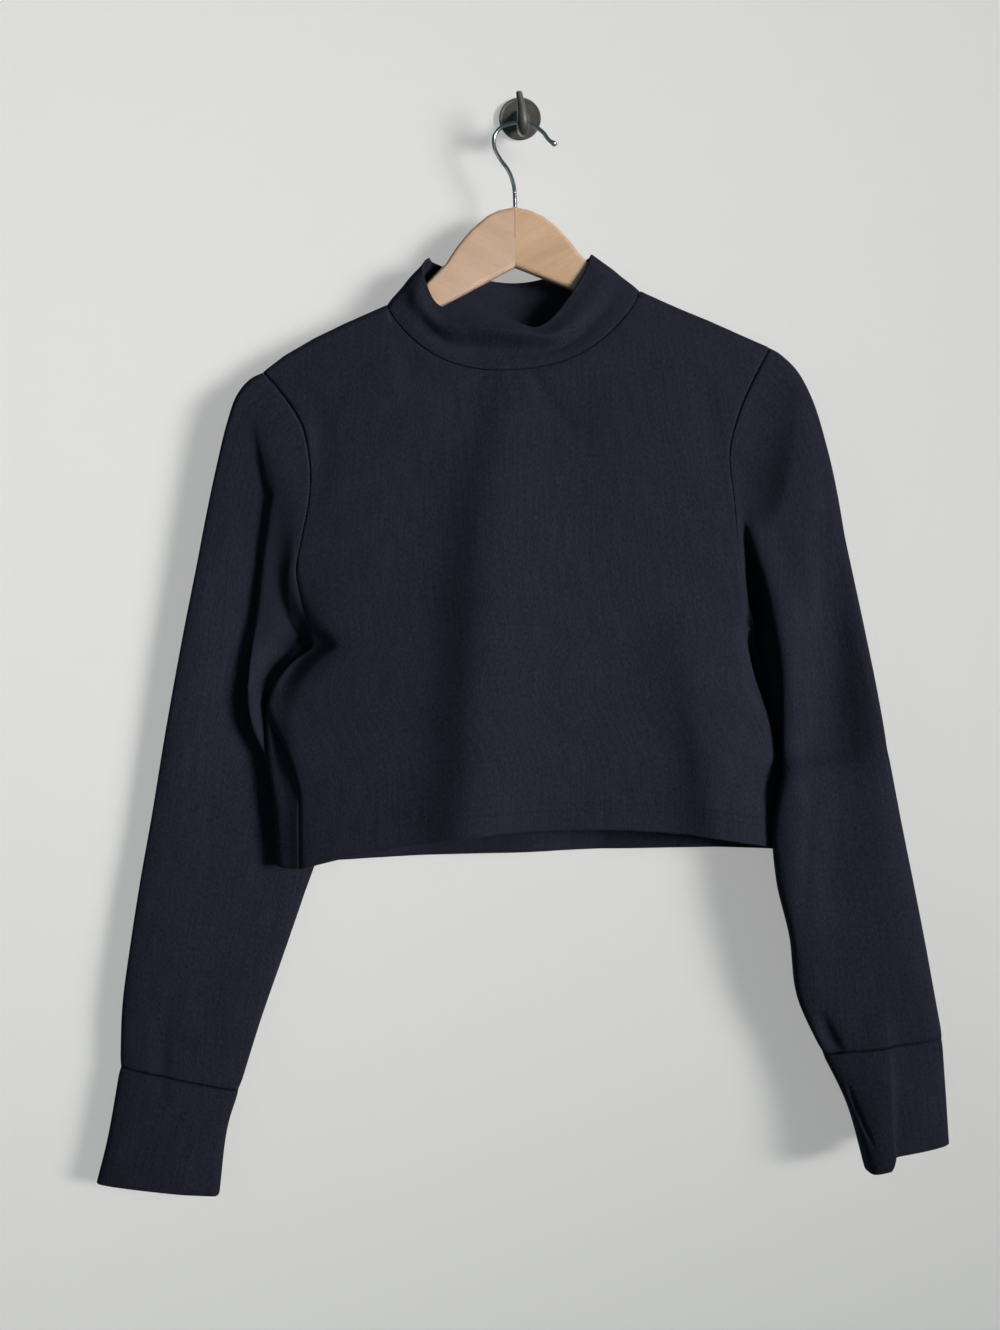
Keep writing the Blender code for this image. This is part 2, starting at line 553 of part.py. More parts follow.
def make_garment():
    front, back = panel_points("front"), panel_points("back")
    back_outward = -grid_normals(back, False)
    front_outward = grid_normals(front, False)
    left = sleeve_points("sleeve_left", SLEEVE_LEFT, armhole_loop(front, back, "left"), SLEEVE_ROWS)
    right = sleeve_points("sleeve_right", SLEEVE_RIGHT, armhole_loop(front, back, "right"), SLEEVE_ROWS)
    left_outward = -grid_normals(left, True)
    right_outward = grid_normals(right, True)
    cuff_left = sleeve_points("cuff_left", CUFF_LEFT, None, CUFF_ROWS)
    cuff_right = sleeve_points("cuff_right", CUFF_RIGHT, None, CUFF_ROWS)
    cuff_left_outward = -grid_normals(cuff_left, True)
    cuff_right_outward = grid_normals(cuff_right, True)
    collar = collar_points(front, back)
    collar_outward = grid_normals(collar, True)

    # One normal along each seam, so that the two walls meet edge to edge
    low, lead = ROWS_BELOW, len(SIDE_STEPS) - 2 + SHOULDER_STEPS
    neck = slice(lead, lead + len(NECK_SHARES))
    side_seams = [(slice(0, low + 1), edge) for edge in (0, -1)]
    shoulder_seams = [(-1, slice(None, lead + 1)), (-1, slice(-lead - 1, None))]
    for seam in side_seams + shoulder_seams:
        front_outward[seam] = back_outward[seam] = mean_normal(front_outward[seam], back_outward[seam])
    half, count = len(ROWS_ABOVE) - 1, len(NECK_SHARES)
    for sleeve, edge in ((left_outward, 0), (right_outward, -1)):
        loop = np.vstack([front_outward[low:, edge][::-1], back_outward[low:, edge][1:-1]])
        sleeve[0] = mean_normal(loop, sleeve[0])
        front_outward[low:, edge] = sleeve[0, : half + 1][::-1]
        back_outward[low:, edge] = np.vstack([sleeve[0, half:], sleeve[0, :1]])
    for sleeve, cuff in ((left_outward, cuff_left_outward), (right_outward, cuff_right_outward)):
        sleeve[-1] = cuff[0] = mean_normal(sleeve[-1], cuff[0])
    loop = np.vstack([front_outward[-1, neck], back_outward[-1, neck][::-1][1:-1]])
    collar_outward[0] = mean_normal(loop, collar_outward[0])
    front_outward[-1, neck] = collar_outward[0, :count]
    back_outward[-1, neck] = np.vstack([collar_outward[0, count - 1:], collar_outward[0, :1]])[::-1]

    knit = plain_material("knit", (0.018, 0.018, 0.028), 0.85, 0.0)
    cloth_wall("front", front, front_outward, False, knit)
    cloth_wall("back", back, back_outward, False, knit.copy())
    cloth_wall("sleeve_left", left, left_outward, True, knit.copy())
    cloth_wall("sleeve_right", right, right_outward, True, knit.copy())
    cloth_wall("collar", collar, collar_outward, True, knit.copy())
    cloth_wall("cuff_left", cuff_left, cuff_left_outward, True, knit.copy())
    cloth_wall("cuff_right", cuff_right, cuff_right_outward, True, knit.copy())


# ---------------------------------------------------------------- hanger and wall hook


def arm_outline(top, shoulder, low, side):
    """Outline of one hanger arm: along the top to the tip, and back below it."""
    shoulder = along(shoulder, np.linspace(0, 1, 6)) - np.array([0.0, ARM_BELOW_CLOTH])
    tip = shoulder[-1] + np.array([-side * ARM_TIP_INSET, 0.0])
    outline = [*map(tuple, top), *map(tuple, shoulder[:-1]), tuple(tip)]
    outline.append((tip[0] + side * 1.5, tip[1] - 5.0))
    outline += [*low[::-1], ARM_APEX]
    return outline


def make_arm(name, outline, side, material):
    """One wooden arm, cut from a board, its long edges rounded, with half the hole for the wire."""
    mesh = bmesh.new()
    shift = side * SEAM_GAP / 2
    ring = []
    for x, z in outline:
        if abs(x - GLUE_LINE_X) < 0.1:
            x += shift
        ring.append(mesh.verts.new((x * MM, -ARM_THICK / 2 * MM, z * MM)))
    face = mesh.faces.new(ring)
    out = bmesh.ops.extrude_face_region(mesh, geom=[face])
    moved = [v for v in out["geom"] if isinstance(v, bmesh.types.BMVert)]
    bmesh.ops.translate(mesh, verts=moved, vec=(0, ARM_THICK * MM, 0))
    bmesh.ops.recalc_face_normals(mesh, faces=mesh.faces)
    cut_x = (GLUE_LINE_X + shift) * MM
    long_edges = [
        e for e in mesh.edges
        if abs(e.verts[0].co.y - e.verts[1].co.y) < 1e-6
        and not all(abs(v.co.x - cut_x) < 1e-6 for v in e.verts)
    ]
    bmesh.ops.bevel(
        mesh, geom=long_edges, offset=ARM_ROUND * MM, segments=3, profile=0.5, affect="EDGES",
        clamp_overlap=True,
    )
    return finish_mesh(name, mesh, material)


def make_hanger():
    wood = plain_material("wood", (0.50, 0.34, 0.22), 0.55, 0.0)
    chrome = plain_material("chrome", (0.62, 0.62, 0.62), 0.22, 1.0)
    outline_left = arm_outline(ARM_TOP_LEFT, SHOULDER_LEFT[::-1], ARM_LOW_LEFT, -1)
    outline_right = arm_outline(ARM_TOP_RIGHT, SHOULDER_RIGHT, ARM_LOW_RIGHT, 1)
    left = make_arm("hanger_arm_left", outline_left, -1, wood)
    right = make_arm("hanger_arm_right", outline_right, 1, wood.copy())
    hole_z = WIRE_ROUTE[0][1] - 0.5 + WIRE_HOLE_DEPTH / 2
    bpy.ops.mesh.primitive_cylinder_add(
        vertices=16, radius=WIRE_HOLE_RADIUS * MM, depth=WIRE_HOLE_DEPTH * MM,
        location=(GLUE_LINE_X * MM, 0, hole_z * MM),
    )
    drill = bpy.context.object
    drill.name = "wire_hole"
    drill.hide_render = True
    drill.display_type = "WIRE"
    for arm in (left, right):
        cut = arm.modifiers.new("wire_hole", "BOOLEAN")
        cut.operation = "DIFFERENCE"
        cut.object = drill
    route = along([(x, 0.0, z) for x, z in WIRE_ROUTE], np.linspace(0, 1, WIRE_STEPS))
    wire = sweep("hanger_hook", route, np.full(len(route), WIRE_RADIUS), chrome, WIRE_SIDES)
    bpy.ops.mesh.primitive_uv_sphere_add(
        segments=14, ring_count=8, radius=TIP_BALL_RADIUS * MM,
        location=(WIRE_ROUTE[-1][0] * MM, 0, WIRE_ROUTE[-1][1] * MM),
    )
    join_in(wire, bpy.context.object, "tip_ball")


def sweep(name, route, radii, material, sides):
    """A round bar of changing thickness along a route, closed at both ends."""
    mesh = bmesh.new()
    tangents = np.gradient(route, axis=0)
    tangents /= np.linalg.norm(tangents, axis=1)[:, None]
    across = np.array([0.0, 1.0, 0.0]) if abs(tangents[0][1]) < 0.9 else np.array([1.0, 0.0, 0.0])
    rings = []
    for centre, tangent, radius in zip(route, tangents, radii):
        across = across - tangent * (across @ tangent)
        across /= np.linalg.norm(across)
        upward = np.cross(tangent, across)
        ring = []
        for turn in np.arange(sides) * 2 * math.pi / sides:
            spoke = across * math.cos(turn) + upward * math.sin(turn)
            ring.append(mesh.verts.new((centre + radius * spoke) * MM))
        rings.append(ring)
    for one, two in zip(rings, rings[1:]):
        for i in range(sides):
            mesh.faces.new((one[i], one[(i + 1) % sides], two[(i + 1) % sides], two[i]))
    mesh.faces.new(rings[0][::-1])
    mesh.faces.new(rings[-1])
    bmesh.ops.recalc_face_normals(mesh, faces=mesh.faces)
    return finish_mesh(name, mesh, material)


def join_in(piece, other, name):
    """Other becomes one body with piece."""
    other.name = name
    other.hide_render = True
    other.display_type = "WIRE"
    union = piece.modifiers.new(name, "BOOLEAN")
    union.operation = "UNION"
    union.object = other


def make_wall_hook():
    black = plain_material("black_paint", (0.025, 0.023, 0.018), 0.4, 0.0)
    prong = along([row[:3] for row in PRONG], np.linspace(0, 1, PRONG_STEPS))
    radii = np.interp(
        np.linspace(0, 1, PRONG_STEPS), np.linspace(0, 1, len(PRONG)), [row[3] for row in PRONG]
    )
    reach, taper = np.array(PRONG_TIP).T
    prong = np.vstack([prong, prong[-1] + np.outer(reach, prong[-1] - prong[-2])])
    radii = np.concatenate([radii, radii[-1] * taper])
    hook = sweep("wall_hook", prong, radii, black, PRONG_SIDES)
    bpy.ops.mesh.primitive_cylinder_add(
        vertices=36, radius=PLATE_RADIUS * MM, depth=PLATE_THICK * MM, rotation=(math.pi / 2, 0, 0),
        location=(PLATE_CENTRE[0] * MM, (WALL_Y - PLATE_THICK / 2) * MM, PLATE_CENTRE[1] * MM),
    )
    plate = bpy.context.object
    rounded = bmesh.new()
    rounded.from_mesh(plate.data)
    rim = [e for e in rounded.edges if all(v.co.z > 0 for v in e.verts)]
    bmesh.ops.bevel(rounded, geom=rim, offset=PLATE_BEVEL * MM, segments=3, profile=0.5, affect="EDGES")
    rounded.to_mesh(plate.data)
    rounded.free()
    join_in(hook, plate, "wall_hook_plate")


for old in list(bpy.data.objects):
    bpy.data.objects.remove(old, do_unlink=True)
make_garment()
make_hanger()
make_wall_hook()
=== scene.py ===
"""The looks of a knit crop top that hangs on a wooden hanger from a round wall hook.

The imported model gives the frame. Sizes are in millimetres unless a name says otherwise: X to the right as
the garment is seen from the front, Y into the wall, Z up, from under the crown of the hanger's wire hook.
"""
import math

import bpy
import numpy as np
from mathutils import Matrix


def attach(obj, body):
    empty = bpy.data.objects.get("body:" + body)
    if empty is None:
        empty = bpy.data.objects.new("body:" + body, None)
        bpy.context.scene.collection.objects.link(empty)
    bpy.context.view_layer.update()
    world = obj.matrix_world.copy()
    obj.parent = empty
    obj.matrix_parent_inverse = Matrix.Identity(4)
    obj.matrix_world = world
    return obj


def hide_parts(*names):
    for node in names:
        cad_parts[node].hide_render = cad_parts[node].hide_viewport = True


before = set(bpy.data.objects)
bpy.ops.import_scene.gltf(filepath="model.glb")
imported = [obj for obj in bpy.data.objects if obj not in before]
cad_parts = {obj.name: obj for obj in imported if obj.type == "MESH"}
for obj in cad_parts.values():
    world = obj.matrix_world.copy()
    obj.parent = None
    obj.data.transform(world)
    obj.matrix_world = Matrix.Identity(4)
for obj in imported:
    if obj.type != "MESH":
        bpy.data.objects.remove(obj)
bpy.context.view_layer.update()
MM = 0.001

# ---------------------------------------------------------------- wall hook
# A moulded hook in satin black: a round plate flat on the wall, with one thick prong that leaves it low
# down, dips to a saddle for the hanger's wire and rises to a blunt tip in front.


class Value:
    """A number that runs through a material's nodes. Arithmetic on it adds Math nodes."""

    def __init__(self, tree, source):
        self.tree, self.source = tree, source

    def _math(self, operation, one, two=None):
        node = self.tree.nodes.new("ShaderNodeMath")
        node.operation = operation
        for socket, given in zip(node.inputs, (one, two)):
            feed(self.tree, socket, given)
        return Value(self.tree, node.outputs[0])

    def __add__(self, other):
        return self._math("ADD", self, other)

    def __sub__(self, other):
        return self._math("SUBTRACT", self, other)

    def __rsub__(self, other):
        return self._math("SUBTRACT", other, self)

    def __mul__(self, other):
        return self._math("MULTIPLY", self, other)

    def __truediv__(self, other):
        return self._math("DIVIDE", self, other)

    def sine(self):
        return self._math("SINE", self)

    def size(self):
        return self._math("ABSOLUTE", self)

    def least(self, other):
        return self._math("MINIMUM", self, other)

    def most(self, other):
        return self._math("MAXIMUM", self, other)

    def hump(self, centre, width):
        """1 at the centre, falling smoothly to 0 on both sides."""
        off = (self - centre) / width
        return self._math("EXPONENT", off * off * -1.0)

    def ramp(self, low, high):
        """0 below low and 1 above high."""
        return ((self - low) / (high - low)).most(0.0).least(1.0)


def feed(tree, socket, given):
    """Link a value to a socket, or set the socket where it is a plain number or colour."""
    if given is None:
        return
    if isinstance(given, Value):
        tree.links.new(given.source, socket)
    elif isinstance(given, (tuple, list)) and len(given) == 3 and socket.type == "RGBA":
        socket.default_value = (*given, 1.0)
    else:
        socket.default_value = given


class Finish:
    """A Principled material that is put together node by node."""

    def __init__(self, name, roughness, metallic=0.0, **plain):
        self.material = bpy.data.materials.new(name)
        self.material.use_nodes = True
        self.tree = self.material.node_tree
        self.shader = self.tree.nodes["Principled BSDF"]
        self.set(Roughness=roughness, Metallic=metallic)
        self.set(**{key.replace("_", " "): given for key, given in plain.items()})

    def set(self, **given):
        for key, what in given.items():
            feed(self.tree, self.shader.inputs[key.replace("_", " ")], what)

    def node(self, kind, settings=None, output=0, **sockets):
        node = self.tree.nodes.new(kind)
        for key, what in (settings or {}).items():
            setattr(node, key, what)
        for key, what in sockets.items():
            feed(self.tree, node.inputs[key.replace("_", " ")], what)
        return Value(self.tree, node.outputs[output])

    def place(self, source="Object", turn=(0, 0, 0), stretch=(1, 1, 1)):
        """Coordinates in metres, turned and then stretched."""
        at = self.node("ShaderNodeTexCoord", output=source)
        turned = self.node("ShaderNodeMapping", Vector=at, Rotation=turn)
        return self.node("ShaderNodeMapping", Vector=turned, Scale=stretch)

    def parts(self, vector):
        node = self.tree.nodes.new("ShaderNodeSeparateXYZ")
        feed(self.tree, node.inputs[0], vector)
        return [Value(self.tree, out) for out in node.outputs]

    def noise(self, vector, scale, detail=2.0, roughness=0.5):
        return self.node("ShaderNodeTexNoise", Vector=vector, Scale=scale, Detail=detail, Roughness=roughness)

    def mix(self, factor, one, two):
        node = self.tree.nodes.new("ShaderNodeMix")
        node.data_type = "RGBA"
        for socket, given in zip((node.inputs[0], node.inputs[6], node.inputs[7]), (factor, one, two)):
            feed(self.tree, socket, given)
        return Value(self.tree, node.outputs[2])

    def bump(self, height, distance, strength=1.0, under=None):
        """A Bump node over the height, in metres of relief, on top of an earlier one."""
        return self.node("ShaderNodeBump", Height=height, Distance=distance, Strength=strength, Normal=under)


def satin_black():
    finish = Finish("satin_black", roughness=0.4, Specular_IOR_Level=0.5)
    at = finish.place()
    cloud = finish.noise(at, 90.0, 3.0)
    dust = finish.noise(at, 900.0, 2.0).ramp(0.62, 0.8)
    finish.set(Base_Color=finish.mix(cloud.ramp(0.35, 0.75) * 0.6 + dust * 0.3, (0.058, 0.053, 0.046),
                                     (0.125, 0.115, 0.1)))
    finish.set(Roughness=cloud * 0.3 + 0.24)
    finish.set(Normal=finish.bump(finish.noise(at, 420.0, 3.0), 0.0002, 0.35))
    return finish.material


def pick(*pieces):
    """Select these pieces alone, the first of them active."""
    bpy.ops.object.select_all(action="DESELECT")
    for piece in pieces:
        piece.select_set(True)
    bpy.context.view_layer.objects.active = pieces[0]


def finished(piece, name, material):
    """A finished piece: its place goes into its mesh, and it rides on the part's one body."""
    pick(piece)
    bpy.ops.object.transform_apply(location=True, rotation=True, scale=True)
    piece.name = piece.data.name = name
    piece.data.materials.clear()
    piece.data.materials.append(material)
    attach(piece, "root")
    return piece


def bent_bar(points, radii, sides):
    """A round bar through points, as thick as the radii say, with closed ends."""
    curve = bpy.data.curves.new("bar", "CURVE")
    curve.dimensions = "3D"
    curve.bevel_depth = 1.0
    curve.bevel_resolution = sides // 4 - 1
    curve.use_fill_caps = True
    run = curve.splines.new("POLY")
    run.points.add(len(points) - 1)
    for spot, at, radius in zip(run.points, points, radii):
        spot.co = (*(c * MM for c in at), 1.0)
        spot.radius = radius * MM
    bar = bpy.data.objects.new("bar", curve)
    bpy.context.scene.collection.objects.link(bar)
    pick(bar)
    bpy.ops.object.convert(target="MESH")
    bpy.ops.object.mode_set(mode="EDIT")
    bpy.ops.mesh.select_all(action="SELECT")
    bpy.ops.mesh.remove_doubles(threshold=1e-7)
    bpy.ops.mesh.normals_make_consistent(inside=False)
    bpy.ops.object.mode_set(mode="OBJECT")
    bpy.ops.object.shade_smooth_by_angle(angle=math.radians(50))
    return bpy.context.object


def through(rows, at):
    """Smooth curve through rows whose first column rises or falls steadily, read at the given values."""
    rows = np.array(rows, float)
    if rows[0, 0] > rows[-1, 0]:
        rows = rows[::-1]
    knots, values = rows[:, 0], rows[:, 1:]
    slopes = np.gradient(values, knots, axis=0)
    at = np.clip(np.asarray(at, float), knots[0], knots[-1])
    k = np.clip(np.searchsorted(knots, at, side="right") - 1, 0, len(knots) - 2)
    span = (knots[k + 1] - knots[k])[..., None]
    t = (at[..., None] - knots[k][..., None]) / span
    return (
        values[k] * (1 + 2 * t) * (1 - t) ** 2
        + values[k + 1] * t**2 * (3 - 2 * t)
        + slopes[k] * span * t * (1 - t) ** 2
        + slopes[k + 1] * span * t**2 * (t - 1)
    )


def lengths_along(points):
    """How far along its run each point lies, the run going down the rows."""
    steps = np.linalg.norm(np.diff(points, axis=0), axis=-1)
    return np.concatenate([np.zeros((1, *steps.shape[1:])), np.cumsum(steps, axis=0)])


def along(points, shares):
    """The same through points in order, read at shares of its length."""
    points = np.array(points, float)
    lengths = lengths_along(points)
    return through(np.column_stack([lengths / lengths[-1], points]), shares)


PLATE_CENTRE, PLATE_RADIUS, PLATE_THICK, WALL_Y = (1.2, 15.4), 18.2, 4.0, 32.0
PLATE_RINGS = ((1.6, 0.0), (1.2, -0.5), (6.0, 0.5))     # on its face, from the rim in: width, rise
# The prong's centre line with its half thickness: x, y, z, radius
PRONG = (
    (1.6, 29, 14, 8.5), (1.9, 22, 11, 6.5), (2.6, 14, 3, 5), (3.4, 6, -3.8, 4.3), (3.6, 0, -4.9, 4.3),
    (3.5, -6.5, -4.4, 4.8), (3, -10.5, 1.5, 4.6), (2.2, -11.5, 10, 3.7), (0.9, -12, 17.5, 3),
    (-0.2, -12.5, 23, 2.6),
)
black = satin_black()
shares = np.linspace(0, 1, 60)
bar = along(PRONG, shares)
cap = np.linspace(0.15, 1.0, 6)
blunt = [bar[-1, :3] + (bar[-1, :3] - bar[-3, :3]) * t * 0.55 for t in cap]
radii = np.concatenate([bar[:, 3], bar[-1, 3] * np.sqrt(1 - (cap * 0.98) ** 2)])
prong = bent_bar(np.vstack([bar[:, :3], blunt]), radii, 32)
bpy.ops.mesh.primitive_cylinder_add(
    vertices=96, radius=PLATE_RADIUS * MM, depth=PLATE_THICK * MM, rotation=(math.pi / 2, 0, 0),
    location=(PLATE_CENTRE[0] * MM, (WALL_Y - PLATE_THICK / 2) * MM, PLATE_CENTRE[1] * MM),
)
plate = bpy.context.object
bpy.ops.object.mode_set(mode="EDIT")
bpy.ops.mesh.select_all(action="DESELECT")
bpy.ops.object.mode_set(mode="OBJECT")
for face in plate.data.polygons:
    face.select = face.normal.z > 0.9
bpy.ops.object.mode_set(mode="EDIT")
bpy.ops.mesh.select_mode(type="FACE")
for wide, rise in PLATE_RINGS:
    bpy.ops.mesh.inset(thickness=wide * MM, depth=rise * MM)
bpy.ops.object.mode_set(mode="OBJECT")
rounding = plate.modifiers.new("rim", "BEVEL")
rounding.width, rounding.segments, rounding.angle_limit = 0.8 * MM, 4, math.radians(25)
bpy.ops.object.modifier_apply(modifier=rounding.name)
bpy.ops.object.shade_smooth_by_angle(angle=math.radians(50))
pick(plate, prong)
bpy.ops.object.join()
wall_hook = finished(plate, "wall_hook_shell", black)
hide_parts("wall_hook")

# ---------------------------------------------------------------- wire hook
# A polished steel wire, 3.4 mm thick, screwed into the wood, bent to a crook and finished at its free end
# with a small pressed bead.
WIRE_RADIUS, BEAD_RADIUS = 1.7, 2.9
WIRE_ROUTE = (
    (-3.5, -96.0), (-3.5, -80.0), (-3.5, -66.0), (-4.5, -52.0), (-9.0, -39.0), (-16.0, -29.0),
    (-21.0, -19.0), (-21.0, -9.5), (-15.0, -2.0), (-7.0, 1.2), (2.0, 1.6), (12.0, -0.6), (20.5, -6.5),
    (26.0, -13.5), (29.5, -15.8),
)
chrome = Finish("polished_wire", roughness=0.2, metallic=1.0)
at = chrome.place()
smear = chrome.noise(at, 260.0, 3.0)
chrome.set(Base_Color=chrome.mix(smear.ramp(0.3, 0.75), (0.62, 0.62, 0.63), (0.42, 0.42, 0.43)))
chrome.set(Roughness=smear * 0.25 + 0.1)
chrome.set(Normal=chrome.bump(chrome.noise(chrome.place(stretch=(1, 1, 6)), 500.0, 2.0), 0.0001, 0.25))
route = along([(x, 0.0, z) for x, z in WIRE_ROUTE], np.linspace(0, 1, 140))
wire = bent_bar(route, np.full(len(route), WIRE_RADIUS), 24)
bpy.ops.mesh.primitive_uv_sphere_add(segments=32, ring_count=20, radius=BEAD_RADIUS * MM)
bead = bpy.context.object
bead.scale = (1.0, 1.0, 0.8)
bead.rotation_euler = (0, math.radians(32), 0)
bead.location = (WIRE_ROUTE[-1][0] * MM, 0, WIRE_ROUTE[-1][1] * MM)
bpy.ops.object.shade_smooth()
bpy.ops.object.transform_apply(location=True, rotation=True, scale=True)
pick(wire, bead)
bpy.ops.object.join()
wire_hook = finished(wire, "hanger_wire", chrome.material)
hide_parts("hanger_hook")

# ---------------------------------------------------------------- hanger arms
# Two arms sawn from a light board, glued on a mitre at the middle, their edges rounded over and sealed
# with a thin satin varnish. The grain runs down each arm.


def beech(name, slope, light, dark, ray):
    """Light beech whose grain runs down a slope, in radians from the horizontal."""
    finish = Finish(name, roughness=0.5, Specular_IOR_Level=0.4, Coat_Weight=0.12, Coat_Roughness=0.35)
    grain = finish.place(turn=(0, slope, 0), stretch=(1.0, 6.0, 12.0))
    long_grain = finish.place(turn=(0, slope, 0), stretch=(1.0, 2.0, 5.5))
    rings = finish.noise(long_grain, 14.0, 4.0, 0.55).ramp(0.3, 0.7)
    pores = finish.noise(finish.place(turn=(0, slope, 0), stretch=(1.0, 22.0, 42.0)), 60.0, 3.0, 0.6)
    flecks = finish.noise(grain, 150.0, 2.0, 0.6).ramp(0.6, 0.74)
    tone = finish.mix(rings, light, dark)
    tone = finish.mix(flecks * 0.55, tone, ray)
    tone = finish.mix(pores.ramp(0.56, 0.72) * 0.3, tone, (0.2, 0.115, 0.062))
    finish.set(Base_Color=tone, Roughness=pores * 0.2 + 0.4)
    finish.set(Normal=finish.bump(pores + rings * 0.3, 0.0003, 0.3))
    return finish.material


# Painted reflection: the two arms of one beech get slightly different tones, the left paler and greyer, the
# right warmer, for the grain taking the light differently on each.
wood_left = beech("beech_left", -0.52, (0.64, 0.43, 0.31), (0.54, 0.35, 0.24), (0.46, 0.28, 0.185))
wood_right = beech("beech_right", 0.50, (0.63, 0.41, 0.265), (0.52, 0.325, 0.20), (0.44, 0.26, 0.155))
for node, wood in (("hanger_arm_left", wood_left), ("hanger_arm_right", wood_right)):
    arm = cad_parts[node]
    arm.data.materials.clear()
    arm.data.materials.append(wood)

# ---------------------------------------------------------------- front and back
# Two panels of smooth double knit, 1.5 mm thick and navy-black, sewn at the shoulders and sides. They hang
# from the hanger's arms, so the cloth falls from the shoulders in soft ridges. The hem is turned up inside.
CLOTH, SEAM_GAP, FOLD_RADIUS, EDGE_BULGE = 1.5, 0.3, 8.5, 0.35
# How far the hem is turned up inside, how much thicker it is there, and over how far that ends
HEM_TURN, HEM_EXTRA, HEM_FADE = 24.0, 1.3, 0.8
# Shoulders, from the neck to the shoulder seam on each side: x, z
NECK_LEFT, NECK_RIGHT = (-113.0, -153.0), (103.0, -141.0)
SHOULDER_LEFT = ((-218.0, -210.0), (-199.0, -195.5), (-174.0, -181.0), (-147.0, -168.0), NECK_LEFT)
SHOULDER_RIGHT = (NECK_RIGHT, (132.0, -154.0), (163.0, -167.0), (190.0, -179.0), (213.0, -189.0))
NECK_DROP = {"front": 64.0, "back": 30.0}
NECK_POWER, NECK_ROUND = 2.4, 0.8
# Armhole seams, pit to shoulder: z, x of the front seam, x of the back seam
ARMHOLE_LEFT = (
    (-442, -176, -176), (-428, -178.5, -180), (-408, -183, -184), (-382, -187.5, -187),
    (-350, -182.5, -189), (-322, -177, -190), (-288, -176.5, -192), (-252, -186, -199), (-226, -204, -209),
    (-210, -218, -218),
)
ARMHOLE_RIGHT = (
    (-429, 196, 196), (-406, 190.5, 193), (-380, 186, 190), (-344, 183, 188), (-314, 180, 188),
    (-280, 177, 189), (-247, 185, 194), (-217, 198, 203), (-189, 213, 213),
)
# The outline down each side: z, x and y of the rolled edge
SIDE_LEFT = (
    (-200, -226, 0), (-350, -216, -2), (-405, -203, -3), (-428, -189, -3), (-442, -176.5, -3),
    (-456, -193, -4), (-472, -206, -4), (-490, -214, -3), (-515, -215, -1), (-543, -213, -1),
    (-575, -209, -1), (-632, -205, 0),
)
SIDE_RIGHT = (
    (-185, 222, 0), (-340, 220, 2), (-395, 212, 3), (-415, 204, 4), (-429, 196.5, 4), (-456, 198.5, 5),
    (-476, 204.5, 7), (-498, 213.5, 9), (-525, 224, 10), (-545, 228.5, 10), (-565, 229.5, 10),
    (-590, 230, 9), (-618, 230, 8),
)
HEM_LEFT, HEM_RIGHT = (-205.0, -631.0), (230.0, -617.0)
# How far the left side seam has turned to the front, down from the pit: z, distance
SEAM_FORWARD = ((-442.0, 0.0), (-496.0, 0.5), (-512.0, 10.0), (-536.0, 23.0), (-556.0, 29.0), (-590.0, 27.0),
                (-632.0, 24.5))
CHEST_MIDDLE, CHEST_HALF = 6.0, 222.0
HEM_RISE = {"front": 27.0, "back": 5.0}
HEM_POWER = {"front": 2.1, "back": 4.0}
CHEST_DEPTH = {"front": 25.0, "back": 17.0}
HEM_DEPTH = {"front": 30.0, "back": 17.0}
DRAPE_LENGTH, BULGE_POWER = 85.0, 4.5
HEM_SWELL_FROM, HEM_SWELL_LENGTH = -250.0, 350.0    # the depth grows from the chest's to the hem's
EDGE_REACH = {"left": 28.0, "right": 16.0}          # how far in from the side the bulge is full
PIT_PINCH_Z, PIT_PINCH_LENGTH, PIT_PINCH = -446.0, 30.0, 0.5    # the left pit pinches the rolled edge
# Over how far below the shoulder the cloth settles and its folds set in, and over how far in from the side
# the folds set in and the pinch ends
SEAT_LENGTH, HELD_BELOW, HELD_INSET, PINCH_INSET = 60.0, 14.0, 9.0, 45.0
NECK_STEPS, SHOULDER_STEPS, SIDE_STEPS = 84, 34, (0.0, 2.0, 4.0, 6.0, 8.5, 11.0, 14.0)
ROWS_BELOW, ROWS_ABOVE, ROWS_CLOSER = 78, 96, 1.35     # the rows stand closer toward the shoulder
FOLD_ROUND, FOLD_FADE = 0.12, 10.0      # how round a fold's line is, and how far it fades past its ends


def fold(rows, left=2.0, right=2.0, lean=0.0):
    """A fold down the cloth. Its rows are x, z, rise toward the viewer, width on its left and on its right.
    The powers shape its flanks: 2 is a soft wave, near 1 the flank is steep up to the fold's line, and 4 is
    flat with a quick end. A fold that leans lies over to the left by that share of its rise."""
    return np.array(rows, float), left, right, lean


